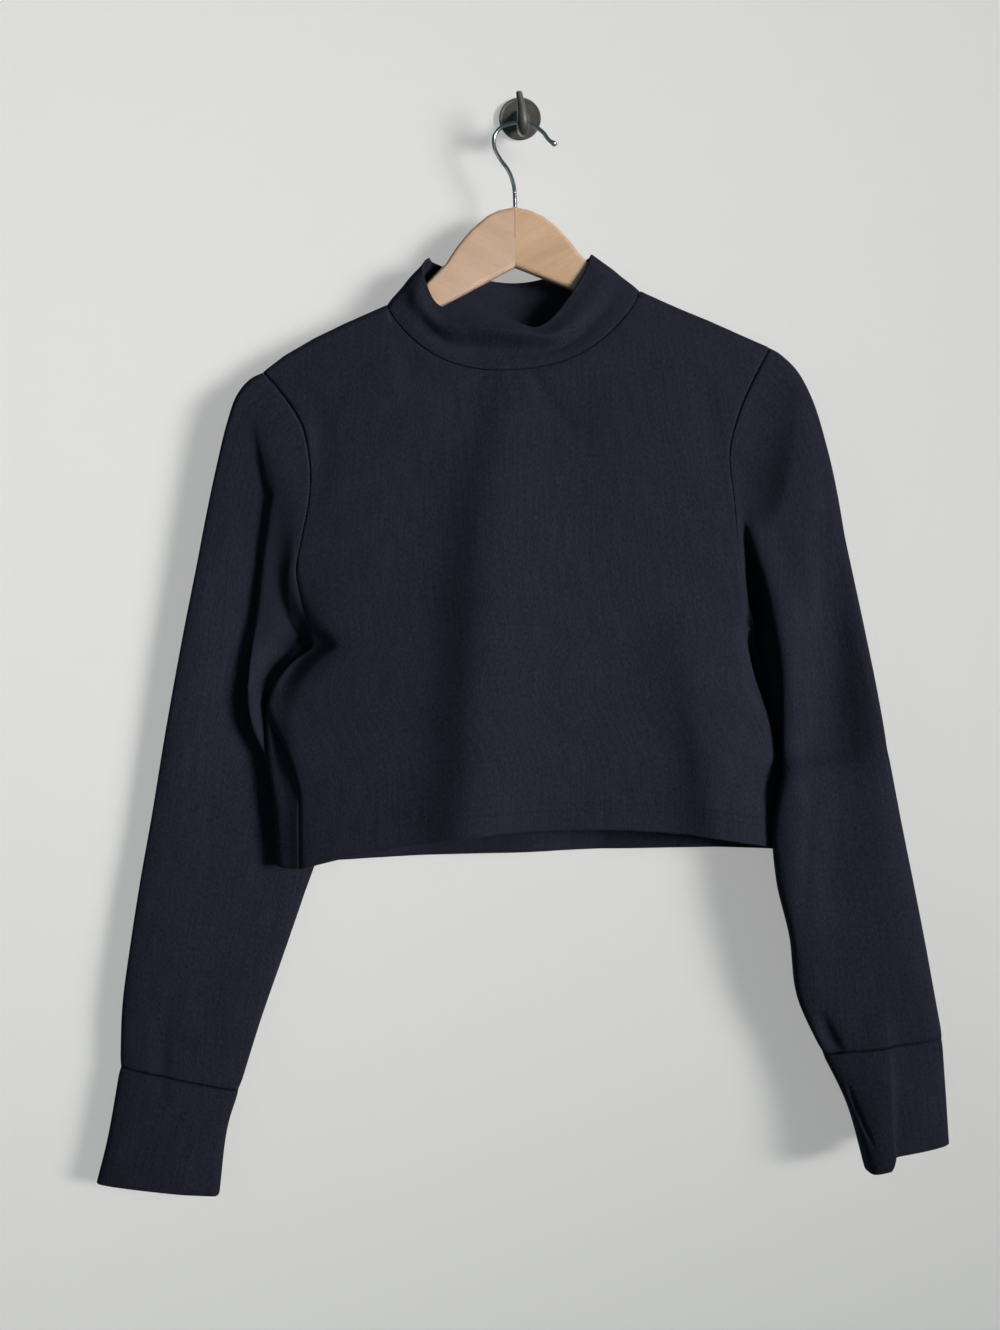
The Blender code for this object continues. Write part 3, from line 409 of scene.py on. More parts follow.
FOLDS = {
    "front": (
        fold((   # the long soft ridge down from the middle of the neck
            (-10, -207, 0.3, 6, 8), (-10.5, -225, 1.2, 9, 14), (-11, -246, 3, 15, 24),
            (-14.5, -290, 7, 23, 38), (-22, -339, 11, 28, 48), (-24.5, -389, 14, 30, 56),
            (-27, -438, 15.5, 31, 60), (-29.5, -488, 16, 32, 60), (-30, -537, 16, 33, 58),
            (-33, -570, 15.5, 33, 52), (-39, -602, 15, 32, 48), (-42, -640, 14, 31, 44),
        ), right=1.35),
        fold((   # its long foot at the left
            (-50, -420, 0, 60, 40), (-52, -480, 1.6, 62, 40), (-54, -550, 4.5, 64, 40),
            (-54, -640, 6, 66, 40),
        )),
        fold((   # a low ridge that runs down to the right of the hem
            (134, -400, 0, 20, 30), (143, -450, 3, 21, 32), (154, -500, 8, 22, 38), (162, -540, 11, 23, 42),
            (169, -580, 12, 24, 42), (174, -640, 12, 24, 42),
        )),
        fold((   # the cloth drawn in beside the left pit
            (-187, -370, 0, 5, 12), (-189, -386, -1, 5, 16), (-187, -400, -2, 6, 18),
            (-181, -414, -2.2, 6, 20), (-177, -427, -1.2, 6, 18), (-176, -440, 0, 5, 14),
        ), right=1.3),
        fold((   # and in beside the rolled edge below it
            (-183, -448, 0, 5, 16), (-190, -460, -2.5, 6, 20), (-197, -473, -2, 6, 20),
            (-204, -487, 0, 6, 20),
        ), right=1.3),
        fold((   # the side strip falls back toward the seam
            (-214, -492, 0, 10, 3), (-207, -510, -2.5, 12, 3), (-199, -527, -4, 14, 3),
            (-191.5, -545, -4.5, 15, 3), (-187.5, -560, -3, 15, 3), (-187, -578, -1.2, 13, 4),
            (-186.5, -600, -0.6, 12, 5), (-185, -632, -0.6, 12, 5),
        ), left=1.3),
        fold((   # and the front's edge laps over it
            (-211, -492, 0, 3, 20), (-203, -510, 2.5, 3, 24), (-195, -527, 3, 3, 26),
            (-188, -545, 3, 3, 28), (-184, -560, 1.8, 3, 26), (-183, -575, 0, 3, 22),
        ), lean=0.6),
        fold((   # slack beside the right armhole
            (150, -200, 0, 10, 10), (157, -226, -1.2, 11, 9), (164, -270, -1.6, 11, 9),
            (168, -330, 0, 11, 9),
        )),
        fold((   # slack beside the left armhole
            (-178, -222, 0, 5, 9), (-171, -246, -1.6, 6, 10), (-167, -280, -1.8, 6, 10),
            (-168, -325, 0, 6, 10),
        )),
        fold((   # gathers under the collar
            (-31, -209, -0.8, 3, 3), (-35, -226, -0.7, 3.5, 4), (-42, -248, 0, 4, 5),
        )),
        fold((
            (-5, -209, -1.1, 2.5, 2.5), (-8, -219, -0.9, 3, 3), (-12, -234, 0, 3, 4),
        )),
        fold((
            (8, -208, -0.7, 3.5, 3.5), (15, -222, -0.9, 4, 5), (26, -240, -1.2, 7, 7),
            (42, -260, -1.2, 9, 9), (60, -284, 0, 10, 10),
        )),
        fold((
            (-86, -182, 0, 5, 5), (-91, -204, -0.9, 7, 7), (-96, -232, 0, 8, 8),
        )),
        fold((
            (96, -176, 0, 7, 7), (104, -206, -0.9, 9, 9), (112, -244, 0, 10, 10),
        )),
    ),
    "back": (
        fold((
            (52, -260, 0, 30, 22), (58, -360, 3, 34, 22), (66, -470, 5, 34, 20), (70, -640, 6, 34, 18),
        ), right=1.5),
        fold((
            (-62, -280, 0, 20, 34), (-74, -380, 2.5, 20, 36), (-84, -500, 4, 18, 36),
            (-90, -640, 4.5, 16, 36),
        ), left=1.5),
        fold((
            (-8, -230, 0, 14, 14), (-6, -330, -2.2, 18, 18), (0, -470, -3, 20, 20), (4, -640, -3.6, 22, 22),
        )),
        fold((
            (150, -380, 0, 10, 12), (160, -450, 2.2, 10, 12), (166, -540, 2.6, 12, 14),
            (170, -640, 2.6, 12, 14),
        )),
        fold((
            (-158, -400, 0, 10, 8), (-150, -470, -2.4, 12, 9), (-146, -560, -2.6, 12, 10),
            (-144, -640, -2.4, 12, 10),
        )),
        fold((
            (20, -176, 0, 8, 8), (14, -200, -1.2, 9, 9), (4, -240, 0, 10, 10),
        )),
    ),
}


def quarter_round(t):
    """0 to 1 along a quarter circle, flat from t = 1 on."""
    return np.sqrt(1.0 - (1.0 - np.clip(t, 0.0, 1.0)) ** 2)


def smooth_step(t):
    """0 to 1 with no kink at either end."""
    t = np.clip(t, 0.0, 1.0)
    return t * t * (3 - 2 * t)


def fold_moves(piece, x, z):
    """How far the folds of this piece move the cloth at x, z: toward the viewer, and to the left."""
    rise, slide = np.zeros(np.broadcast(x, z).shape), np.zeros(np.broadcast(x, z).shape)
    for run, left_power, right_power, lean in FOLDS.get(piece, ()):
        middle, height, left, right = np.moveaxis(through(run[:, [1, 0, 2, 3, 4]], z), -1, 0)
        below = through(run[:, [1, 0]], np.asarray(z) - 1.0)[..., 0]
        aside = (x - middle) / np.hypot(1.0, middle - below)
        beyond = np.maximum(run[-1, 1] - z, 0) + np.maximum(z - run[0, 1], 0)
        width = np.where(aside < 0, left, right)
        off = (np.hypot(aside, width * FOLD_ROUND) - width * FOLD_ROUND) / width
        flank = off ** np.where(aside < 0, left_power, right_power)
        move = height * np.exp(-flank - (beyond / FOLD_FADE) ** 2)
        rise += move
        slide += lean * move
    return rise, slide


def top_edge(side):
    """Shoulder, neck and shoulder of a panel, left to right, one x, z for each column."""
    left = along(SHOULDER_LEFT, np.linspace(0, 1, SHOULDER_STEPS + 1))
    right = along(SHOULDER_RIGHT, np.linspace(0, 1, SHOULDER_STEPS + 1))
    swing = np.linspace(-1, 1, NECK_STEPS + 1)
    swing = np.sin(swing * math.pi / 2) * 0.5 + swing * 0.5
    chord = np.outer((1 - swing) / 2, NECK_LEFT) + np.outer((1 + swing) / 2, NECK_RIGHT)
    drop = NECK_DROP[side] * (1 - np.abs(swing) ** NECK_POWER) ** NECK_ROUND
    neck = chord - np.column_stack([np.zeros_like(drop), drop])
    return np.vstack([left, neck[1:-1], right])


def body_skin(x, z, turned):
    """Points of the garment's outer skin. turned is +1 on the front of a section and -1 round its back."""
    left, right = through(SIDE_LEFT, z), through(SIDE_RIGHT, z)
    inset = np.maximum(np.minimum(x - left[..., 0], right[..., 0] - x), 0)
    share = np.clip((x - left[..., 0]) / (right[..., 0] - left[..., 0]), 0, 1)
    seat = left[..., 1] + (right[..., 1] - left[..., 1]) * share
    across = np.abs(np.clip((x - CHEST_MIDDLE) / CHEST_HALF, -1, 1))
    shoulder = np.interp(x, *np.array(SHOULDER_LEFT + SHOULDER_RIGHT).T)
    below = np.maximum(shoulder - z, 0)
    at_left = share < 0.5
    pinch = at_left * np.exp(-(((z - PIT_PINCH_Z) / PIT_PINCH_LENGTH) ** 2))
    radius = FOLD_RADIUS * (1 - PIT_PINCH * pinch)
    edge = radius * np.minimum(quarter_round(inset / radius), quarter_round(below / radius))
    edge = edge + (FOLD_RADIUS - radius) * smooth_step(inset / PINCH_INSET)
    drop = np.clip((HEM_SWELL_FROM - z) / HEM_SWELL_LENGTH, 0, 1)
    held = (1 - np.exp(-below / HELD_BELOW)) * smooth_step(inset / HELD_INSET)
    full = np.where(at_left, EDGE_REACH["left"], EDGE_REACH["right"])
    reach, slide = {}, {}
    for side in ("front", "back"):
        depth = CHEST_DEPTH[side] + (HEM_DEPTH[side] - CHEST_DEPTH[side]) * drop - FOLD_RADIUS
        bulge = depth * (1 - across**BULGE_POWER) * (1 - np.exp(-below / DRAPE_LENGTH))
        rise, slide[side] = fold_moves(side, x, z)
        reach[side] = bulge * smooth_step(inset / full) + rise * held
    out = np.where(turned > 0, reach["front"], reach["back"])
    y = seat * (1 - np.exp(-below / SEAT_LENGTH)) - turned * (edge + out)
    return np.stack([x - np.where(turned > 0, slide["front"], slide["back"]) * held, y, z], axis=-1)


def panel_points(side):
    """Outer skin of the front or back: rows from the hem up, columns from the left seam to the right."""
    top = top_edge(side)
    count = len(top)
    pit_left, pit_right = np.array(ARMHOLE_LEFT[0][:2])[::-1], np.array(ARMHOLE_RIGHT[0][:2])[::-1]
    column = 0 if side == "front" else 1
    forward = 1.0 if side == "front" else -1.0
    quarter, around = FOLD_RADIUS * math.pi / 2, (math.pi / 2 - 1) * FOLD_RADIUS
    ends = np.array(SIDE_STEPS)
    rows, turned = [], []
    for down in np.linspace(1, 0, ROWS_BELOW + 1):  # hem to pit
        z_left = pit_left[1] + (HEM_LEFT[1] - pit_left[1]) * down
        z_right = pit_right[1] + (HEM_RIGHT[1] - pit_right[1]) * down
        x_left, x_right = through(SIDE_LEFT, z_left)[0], through(SIDE_RIGHT, z_right)[0]
        offset = through(SEAM_FORWARD, z_left)[0] * forward
        width = x_right - x_left + 2 * around - offset
        inside = np.linspace(ends[-1], width - ends[-1], count - 2 * len(ends) + 2)
        arcs = np.concatenate([ends[:-1], inside, (width - ends[:-1])[::-1]])
        from_left, from_right = arcs + offset, width - arcs
        turn_left = FOLD_RADIUS * (1 - np.cos(np.clip(np.abs(from_left) / FOLD_RADIUS, 0, math.pi / 2)))
        turn_right = FOLD_RADIUS * (1 - np.cos(np.clip(from_right / FOLD_RADIUS, 0, math.pi / 2)))
        in_left = np.where(np.abs(from_left) < quarter, turn_left, np.abs(from_left) - around)
        in_right = np.where(from_right < quarter, turn_right, from_right - around)
        x = np.where(arcs < width / 2, x_left + in_left, x_right - in_right)
        share = (x - x_left) / (x_right - x_left)
        swing = np.abs(2 * arcs / width - 1)
        rise = HEM_RISE[side] * (1 - swing ** HEM_POWER[side]) * down**2
        rows.append(np.column_stack([x, z_left + (z_right - z_left) * share + rise]))
        turned.append(np.where(from_left < 0, -forward, forward))
    pit_row, share = rows[-1], np.linspace(0, 1, count)[:, None]
    for up in 1 - (1 - np.linspace(0, 1, ROWS_ABOVE + 1)[1:]) ** ROWS_CLOSER:  # pit to shoulder
        left_z = pit_left[1] + (SHOULDER_LEFT[0][1] - pit_left[1]) * up
        right_z = pit_right[1] + (SHOULDER_RIGHT[-1][1] - pit_right[1]) * up
        left = np.array([through(ARMHOLE_LEFT, left_z)[column], left_z])
        right = np.array([through(ARMHOLE_RIGHT, right_z)[column], right_z])
        straight = pit_row * (1 - up) + top * up
        rows.append(straight + (left - straight[0]) * (1 - share) ** 2 + (right - straight[-1]) * share**2)
        turned.append(np.full(count, forward))
    x, z = np.moveaxis(np.array(rows), -1, 0)
    return body_skin(x, z, np.array(turned))


def unit(vectors):
    """The same directions, each one long."""
    return vectors / np.linalg.norm(vectors, axis=-1, keepdims=True)


def grid_normals(points, round_about):
    """Unit normals of a grid of points, along the cross product of its columns and its rows."""
    if round_about:
        around = np.roll(points, -1, axis=1) - np.roll(points, 1, axis=1)
    else:
        around = np.gradient(points, axis=1)
    return unit(np.cross(around, np.gradient(points, axis=0)))


def edge_distance(points, edges):
    """Distance of each point of a grid from the nearest of its named edges, measured along the grid."""
    nearest = np.full(points.shape[:2], np.inf)
    for edge in edges:
        grid = points if edge in ("first", "last") else np.swapaxes(points, 0, 1)
        grid = grid if edge in ("first", "left") else grid[::-1]
        far = lengths_along(grid)
        far = far if edge in ("first", "left") else far[::-1]
        nearest = np.minimum(nearest, far if edge in ("first", "last") else far.T)
    return nearest


def held_back(skin, round_about):
    """A skin whose edges are drawn in by half a seam gap, square to each seam."""
    moved = skin.copy()
    for edge, beside, way in ((0, 1, 0), (-1, -2, 0), (0, 1, 1), (-1, -2, 1)):
        if way and round_about:
            continue
        grid = np.swapaxes(skin, 0, 1) if way else skin
        target = np.swapaxes(moved, 0, 1) if way else moved
        run = unit(np.gradient(grid[edge], axis=0))
        away = grid[beside] - grid[edge]
        away -= run * np.sum(away * run, axis=1)[:, None]
        target[edge] += unit(away) * SEAM_GAP / 2
    return moved


def soft_piece(name, mesh):
    """A piece of cloth or thread, its faces outward, on the part's one body."""
    mesh.shade_smooth()
    piece = bpy.data.objects.new(name, mesh)
    bpy.context.scene.collection.objects.link(piece)
    pick(piece)
    bpy.ops.object.mode_set(mode="EDIT")
    bpy.ops.mesh.select_all(action="SELECT")
    bpy.ops.mesh.normals_make_consistent(inside=False)
    bpy.ops.object.mode_set(mode="OBJECT")
    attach(piece, "root")
    return piece


def cloth_wall(name, points, normals, round_about, cloth_uv, thick, free_edges, seams, material):
    """A closed wall of cloth: outer skin, inner skin, and a rim at each edge, rounded where it is free."""
    outer = held_back(points, round_about)
    inner = held_back(points - normals * thick, round_about)
    deep = np.broadcast_to(thick, (*points.shape[:2], 1))
    rims = []
    for edge, beside in ((-1, -2), (0, 1)):
        away = unit(outer[edge] - outer[beside])
        bulge = EDGE_BULGE if edge in free_edges else 0.0
        rims.append((outer[edge] + inner[edge]) / 2 + away * deep[edge] * bulge)
    rows = np.concatenate([outer, rims[0][None], inner[::-1], rims[1][None]])
    uv = np.concatenate([cloth_uv, cloth_uv[-1:], cloth_uv[::-1], cloth_uv[:1]])
    seam = edge_distance(points, seams)
    seam = np.concatenate([seam, seam[-1:], seam[::-1], seam[:1]])
    count, columns = rows.shape[:2]
    r, c = np.meshgrid(np.arange(count), np.arange(columns if round_about else columns - 1), indexing="ij")
    up, on = (r + 1) % count, (c + 1) % columns
    corners = ((r, c, c), (r, on, c + 1), (up, on, c + 1), (up, c, c))
    faces = np.stack([a * columns + b for a, b, _ in corners], axis=-1).reshape(-1, 4)
    face_uv = np.stack([uv[a, w] for a, _, w in corners], axis=2).reshape(-1, 2)
    faces, face_uv = [faces], [face_uv]
    if not round_about:
        half = len(outer)
        low = np.arange(half - 1)
        for column in (0, columns - 1):
            ring = np.stack([low, low + 1, 2 * half - 1 - low, 2 * half - low], axis=1)
            faces.append(ring * columns + column)
            face_uv.append(uv[ring, column].reshape(-1, 2))
    faces, face_uv = np.concatenate(faces), np.concatenate(face_uv)
    flat = rows.reshape(-1, 3) * MM
    mesh = bpy.data.meshes.new(name)
    mesh.from_pydata(flat.tolist(), [], faces.tolist())
    layer = mesh.uv_layers.new(name="cloth")
    layer.data.foreach_set("uv", (face_uv * MM).ravel())
    distance = mesh.attributes.new("seam_mm", "FLOAT", "POINT")
    distance.data.foreach_set("value", seam.ravel().astype(np.float32))
    mesh.materials.append(material)
    return soft_piece(name, mesh)


def panel_uv(points):
    """Flat coordinates of a panel in millimetres: across from its middle column, and up from its hem."""
    across = lengths_along(np.swapaxes(points, 0, 1)).T
    return np.stack([across - across[:, [points.shape[1] // 2]], lengths_along(points)], axis=-1)


WALE, COURSE = 0.00105, 0.0008      # one column and one row of stitches, in metres


def knit(name, dye, hem_lines=()):
    """Smooth double knit: columns of small V stitches, a soft heather, a dull brushed face, and painted shade
    along its seams.
    """
    finish = Finish(
        name, roughness=0.9, Specular_IOR_Level=0.02, Sheen_Weight=0.01, Sheen_Roughness=0.5,
        Sheen_Tint=(0.6, 0.65, 0.8),
    )
    cloth = finish.place("UV")
    across, up, _ = finish.parts(cloth)
    lean = (across * (math.pi / WALE)).sine().size()
    loops = ((up + lean * (COURSE * 0.7)) * (2 * math.pi / COURSE)).sine()
    stitches = lean * 0.7 + loops * 0.3
    yarn = finish.noise(finish.place("UV", stretch=(1.0, 0.45, 1.0)), 700.0, 2.0, 0.6)
    streaks = finish.noise(finish.place("UV", stretch=(1.0, 0.06, 1.0)), 420.0, 2.0, 0.5)
    cloud = finish.noise(cloth, 22.0, 3.0, 0.55)
    lint = finish.node("ShaderNodeTexVoronoi", Vector=cloth, Scale=60.0)
    pale = tuple(c * 1.5 for c in dye)
    deep = tuple(c * 0.72 for c in dye)
    tone = yarn * 0.6 + streaks * 0.25 + cloud * 0.15
    colour = finish.mix(tone.ramp(0.36, 0.66), deep, pale)
    colour = finish.mix((1.0 - lint.ramp(0.012, 0.022)) * 0.35, colour, (0.09, 0.09, 0.1))
    seam = finish.node("ShaderNodeAttribute", {"attribute_name": "seam_mm"}, output=2)
    # Painted shade: within about a millimetre of each seam the colour darkens toward a deep tone of the dye,
    # shade painted into the seam's groove.
    colour = finish.mix(seam.hump(0.0, 0.6) * 0.2, colour, tuple(c * 0.4 for c in dye))
    finish.set(Base_Color=colour, Roughness=yarn * 0.12 + 0.82)
    pucker = finish.noise(cloth, 170.0, 2.0, 0.6) * seam.hump(2.5, 4.0)
    relief = pucker * 0.0011 - seam.hump(0.0, 1.1) * 0.0005
    for line in hem_lines:
        tight = up.hump(line * MM, 0.0007)
        near = up.hump(line * MM, 0.005)
        relief = relief - tight * 0.0004 + finish.noise(finish.place("UV", stretch=(1.0, 0.35, 1.0)),
                                                        260.0, 2.0) * near * 0.0005
    wrinkle = finish.noise(finish.place("UV", stretch=(1.0, 0.5, 1.0)), 30.0, 3.0, 0.5)
    soft = finish.bump(relief + wrinkle * 0.0004, 1.0, 0.8)
    finish.set(Normal=finish.bump(stitches + yarn * 1.2, 0.00012, 0.6, under=soft))
    return finish.material


NAVY = (0.0165, 0.0165, 0.026)
HEM_STITCHES = (16.0, 22.0)
body_knit = knit("navy_double_knit_body", NAVY, HEM_STITCHES)
plain_knit = knit("navy_double_knit", NAVY)
front, back = panel_points("front"), panel_points("back")
front_out, back_out = grid_normals(front, False), -grid_normals(back, False)

# ---------------------------------------------------------------- sleeves
# Long set-in sleeves, a tube each with its seam under the arm. They hang down beside the body, pinched at
# the pits, where the slack lies over in a pleat on the left and stands in front of a deep gap on the right.
# Each row is a ring: outer edge x, z; inner edge x, z; y of both edges; half depth; share of the armhole
SLEEVE_LEFT = (
    (-218, -210, -176, -442, 0, -3, 10, 1), (-230, -217.5, -176.3, -443, 0, 0.5, 10, 0.95),
    (-240, -230, -176.5, -445, 0.5, 5.5, 10, 0.86), (-248, -252, -177, -448.5, 1.5, 11, 10, 0.70),
    (-257, -288, -177, -454, 3, 16, 10, 0.45), (-266, -329, -176.5, -462, 5, 16, 10, 0.22),
    (-275, -375, -175, -473, 7, 16, 9, 0.06), (-285, -424, -172, -490, 9, 17, 9, 0),
    (-300, -503, -168, -540, 11, 19, 8.5, 0), (-315, -592, -169, -608, 12, 19, 8.5, 0),
    (-324, -643, -186, -660, 12, 17, 9.5, 0), (-332, -695, -203, -710, 12, 14, 11, 0),
    (-339, -748, -221, -762, 12, 12, 12, 0), (-341, -802, -240, -823, 12, 12, 12, 0),
)
SLEEVE_RIGHT = (
    (213, -189, 196, -429, 0, 4, 12, 1), (223, -196, 196, -431, 0, 7, 12, 0.95),
    (236, -209, 195.5, -434, 0, 10.5, 12.5, 0.86), (247, -230, 195, -438, 0, 14.5, 13, 0.70),
    (260, -276, 195.5, -444, 0, 18, 13, 0.45), (271, -324, 197.5, -453, 0, 20, 13, 0.22),
    (282, -376, 200.5, -466, 0, 21.5, 12.5, 0.06), (292, -424, 205.5, -482, 0, 22.5, 12, 0),
    (303, -480, 213, -507, -1, 22, 11.5, 0), (309, -515, 216.5, -528, -2, 19.5, 11.5, 0),
    (311, -530, 224.5, -538, -2.5, 13, 12, 0), (313, -540, 225, -548, -3, 2, 13, 0),
    (316, -556, 221, -560, -3.5, -6, 12, 0), (322, -588, 214, -590, -4, -11, 11, 0),
    (332, -640, 217, -641, -5, -11, 12, 0), (342, -692, 228, -688, -5, -12, 13.5, 0),
    (351, -741, 236, -742, -5, -8, 13, 0), (357, -773, 256, -786, -5, -7, 13, 0),
)
SLEEVE_ROWS, RING_ROUND, ROW_LEAST = 200, 0.42, 6.0
ARMHOLE_GRIP, FRONT_GAIN = 12, 2.5      # folds fade out at the armhole, and reach right across the front
CUFF_RIDGE = fold((
    (304, -740, 0, 16, 8), (307, -775, 3, 22, 6), (308, -820, 5, 26, 4), (309, -860, 6.5, 28, 3),
    (312, -900, 7, 28, 3),
), right=1.4, lean=-0.3)
FOLDS["sleeve_left"] = (
    fold((   # the pleat that lies over from the shoulder to the pit, then the ridge under the arm
        (-219.5, -245, 0, 4, 20), (-217.5, -266, 2, 4, 24), (-212, -292, 4, 3.5, 28),
        (-207.5, -311, 4.5, 3, 29), (-204, -318, 4.5, 3.5, 28), (-207, -325, 4.8, 3.5, 29),
        (-209, -341, 4.8, 3.5, 30), (-212, -361, 5, 3.5, 32), (-215.5, -389, 5.5, 3, 34),
        (-218.5, -419, 6.5, 3, 32), (-221, -442, 8.5, 3, 18), (-222, -465, 11, 3, 10),
        (-221, -488, 14, 3, 7), (-218.5, -507, 14, 3, 7), (-215.5, -518, 13, 3, 6), (-212, -530, 11, 3, 5),
        (-209.5, -541, 8, 3, 5), (-207.5, -548, 4, 3, 5), (-206, -558, 0, 3, 5),
    ), right=4.0, lean=0.6),
    fold((   # the cloth outside it falls away behind it
        (-219, -250, 0, 10, 4), (-216, -284, -1.5, 14, 4), (-209.5, -308, -2.5, 18, 4),
        (-212, -330, -3, 20, 4), (-217, -360, -3.5, 22, 4), (-220, -390, -4, 22, 4),
        (-224, -420, -4.5, 22, 4), (-228, -445, -5, 22, 4), (-230, -470, -5, 24, 4),
        (-229, -495, -5, 24, 4), (-223, -520, -5, 22, 4), (-214, -545, -5, 20, 5), (-211, -575, -4, 18, 6),
        (-209, -600, -3, 17, 6), (-208, -632, -1.5, 16, 6), (-210, -660, 0, 14, 8),
    ), left=1.5),
    fold((   # the hollow under the arm
        (-184, -434, 0, 4, 4), (-191, -439, -4, 5, 4), (-198, -444, -6, 6, 5), (-205, -452, -6.5, 6, 6),
        (-212, -463, -6, 5, 6), (-216, -476, -5, 4, 5), (-218, -488, 0, 4, 4),
    )),
    fold((   # a small crease inside the hollow
        (-190, -446, 0, 3, 4), (-196, -455, 5, 3, 4), (-203, -466, 6, 3, 4), (-209, -478, 4, 3, 4),
        (-214, -488, 0, 3, 4),
    )),
    fold((   # the sleeve's long, flat front
        (-262, -300, 0, 16, 16), (-274, -400, 1.8, 16, 18), (-286, -520, 2, 18, 20),
        (-288, -640, 1.6, 20, 24), (-292, -760, 0, 20, 24),
    )),
    fold((   # slack above the cuff
        (-300, -740, 0, 12, 12), (-303, -775, -1.4, 9, 8), (-304, -806, -1.8, 7, 6), (-304, -816, -1, 7, 6),
    )),
    fold((
        (-258, -690, 0, 12, 10), (-262, -750, -1.2, 12, 10), (-270, -800, 0, 10, 10),
    )),
)
FOLDS["sleeve_right"] = (
    fold((   # the edge of the sleeve's front lies over to the left, with the gap beside the body inside it
        (190, -334, 0, 3, 10), (198.5, -352, 5, 3, 12), (209.5, -378, 9, 3, 14), (220, -417, 12, 3, 15),
        (226, -444, 13, 3, 16), (229, -468, 13, 3, 16), (230, -500, 12, 3, 16), (229.5, -534, 12, 3, 16),
        (225, -556, 7, 3, 15), (218, -584, 2, 3, 14), (215, -610, 1, 3, 14), (215, -632, 0, 3, 14),
    ), lean=0.6),
    fold((   # its rounded front
        (232, -340, 0, 22, 20), (237, -362, 5, 25, 20), (240, -400, 8, 25, 20), (241, -440, 8, 22, 20),
        (243, -500, 7, 22, 20), (244, -560, 6, 24, 20), (240, -610, 6, 24, 18), (240, -680, 4, 20, 18),
        (248, -740, 0, 16, 18),
    )),
    fold((   # the gap, deepest at the pit
        (187, -326, 0, 3, 8), (188, -345, -5, 3, 8), (192, -366, -9, 3, 9), (197, -392, -11, 4, 11),
        (203, -417, -11, 4, 11), (208, -440, -8, 4, 10), (214, -465, -4, 4, 9), (218, -490, 0, 4, 9),
    )),
    fold((   # the cloth outside the cap stands forward of it, down to the pit
        (241, -212, 0, 12, 30), (239, -235, 4, 16, 40), (236, -255, 8, 19, 50), (232, -279, 11, 20, 54),
        (228, -303, 13, 20, 54), (223, -322, 13, 20, 50), (216, -337, 11, 20, 44), (209, -350, 6, 18, 36),
        (205, -366, 0, 16, 30),
    ), left=1.35),
    fold((   # a small crease down in the gap
        (200, -404, 0, 2, 2), (199, -414, 3.5, 2, 2.5), (200, -426, 3.5, 2, 2.5), (206, -440, 0, 2, 2.5),
    )),
    fold((   # the long valley down the front of the sleeve
        (263, -280, 0, 12, 24), (262.5, -329, -2.4, 13, 26), (261.5, -380, -4, 14, 26),
        (259.5, -438, -5, 14, 26), (258, -505, -5, 14, 28), (256, -539, -5, 13, 30),
        (251, -572, -4.6, 12, 32), (246, -606, -4.2, 11, 34), (242, -650, -3.6, 10, 34),
        (241, -690, -2.4, 10, 34), (244, -735, 0, 10, 30),
    )),
    fold((   # the outer edge stands forward
        (266, -330, 0, 14, 8), (278, -380, 1.5, 14, 8), (287, -424, 2, 14, 8), (298, -480, 2.5, 16, 8),
        (306, -540, 3, 20, 9), (314, -588, 3.5, 24, 10), (324, -640, 4, 28, 10), (334, -692, 4, 30, 10),
        (344, -741, 3.6, 28, 9), (352, -773, 2.4, 24, 8),
    )),
    fold((   # the pucker above the cuff's inner corner
        (252, -748, 0, 5, 4), (258, -762, -3.5, 6, 4), (264, -775, -4.5, 7, 4), (270, -786, -1.5, 6, 4),
    )),
    CUFF_RIDGE,
)


def armhole_shares(armhole):
    """How much each point of an armhole loop belongs to the shoulder point and how much to the pit."""
    top, pit = armhole[0], armhole[len(armhole) // 2]
    low = np.clip((armhole[:, 2] - top[2]) / (pit[2] - top[2]), 0, 1)
    return np.column_stack([1 - low, low])


def sleeve_points(piece, table, armhole, count):
    """Outer skin of a sleeve or cuff: rings from the top down, each from its outer edge by the front."""
    table = np.array(table, float)
    size = 2 * ROWS_ABOVE
    middles = (table[:, :2] + table[:, 2:4]) / 2
    steps = np.linalg.norm(np.diff(middles, axis=0), axis=1) + ROW_LEAST
    lengths = np.concatenate([[0.0], np.cumsum(steps)])
    rows = through(np.column_stack([lengths / lengths[-1], table]), np.linspace(0, 1, count + 1))
    angle = 2 * math.pi * np.arange(size) / size
    share = (1 - np.cos(angle)) / 2
    swell = np.sign(np.sin(angle)) * np.abs(np.sin(angle)) ** RING_ROUND
    rings = []
    for out_x, out_z, in_x, in_z, y_out, y_in, depth, kept in rows:
        x = out_x + (in_x - out_x) * share
        z = out_z + (in_z - out_z) * share
        ring = np.column_stack([x, y_out + (y_in - y_out) * share - depth * swell, z])
        if armhole is not None:
            ends = np.array([[out_x, y_out, out_z], [in_x, y_in, in_z]])
            moved = armhole + armhole_shares(armhole) @ (ends - armhole[[0, size // 2]])
            ring = moved * kept + ring * (1 - kept)
        free = 1 - np.clip(kept, 0, 1) ** ARMHOLE_GRIP
        rise, slide = fold_moves(piece, ring[:, 0], ring[:, 2])
        rise_back, _ = fold_moves(piece + "_back", ring[:, 0], ring[:, 2])
        forward, behind = np.clip(swell * FRONT_GAIN, 0, 1) * free, np.clip(-swell, 0, 1) * free
        ring[:, 1] += rise_back * behind - rise * forward
        ring[:, 0] -= slide * forward
        rings.append(ring)
    if armhole is not None:
        rings[0] = armhole
    return np.array(rings)


def armhole_loop(column):
    """The armhole's outer edge from the shoulder point down the front to the pit and up the back."""
    down, up = front[ROWS_BELOW:, column][::-1], back[ROWS_BELOW:, column]
    return np.vstack([down, up[1:-1]])


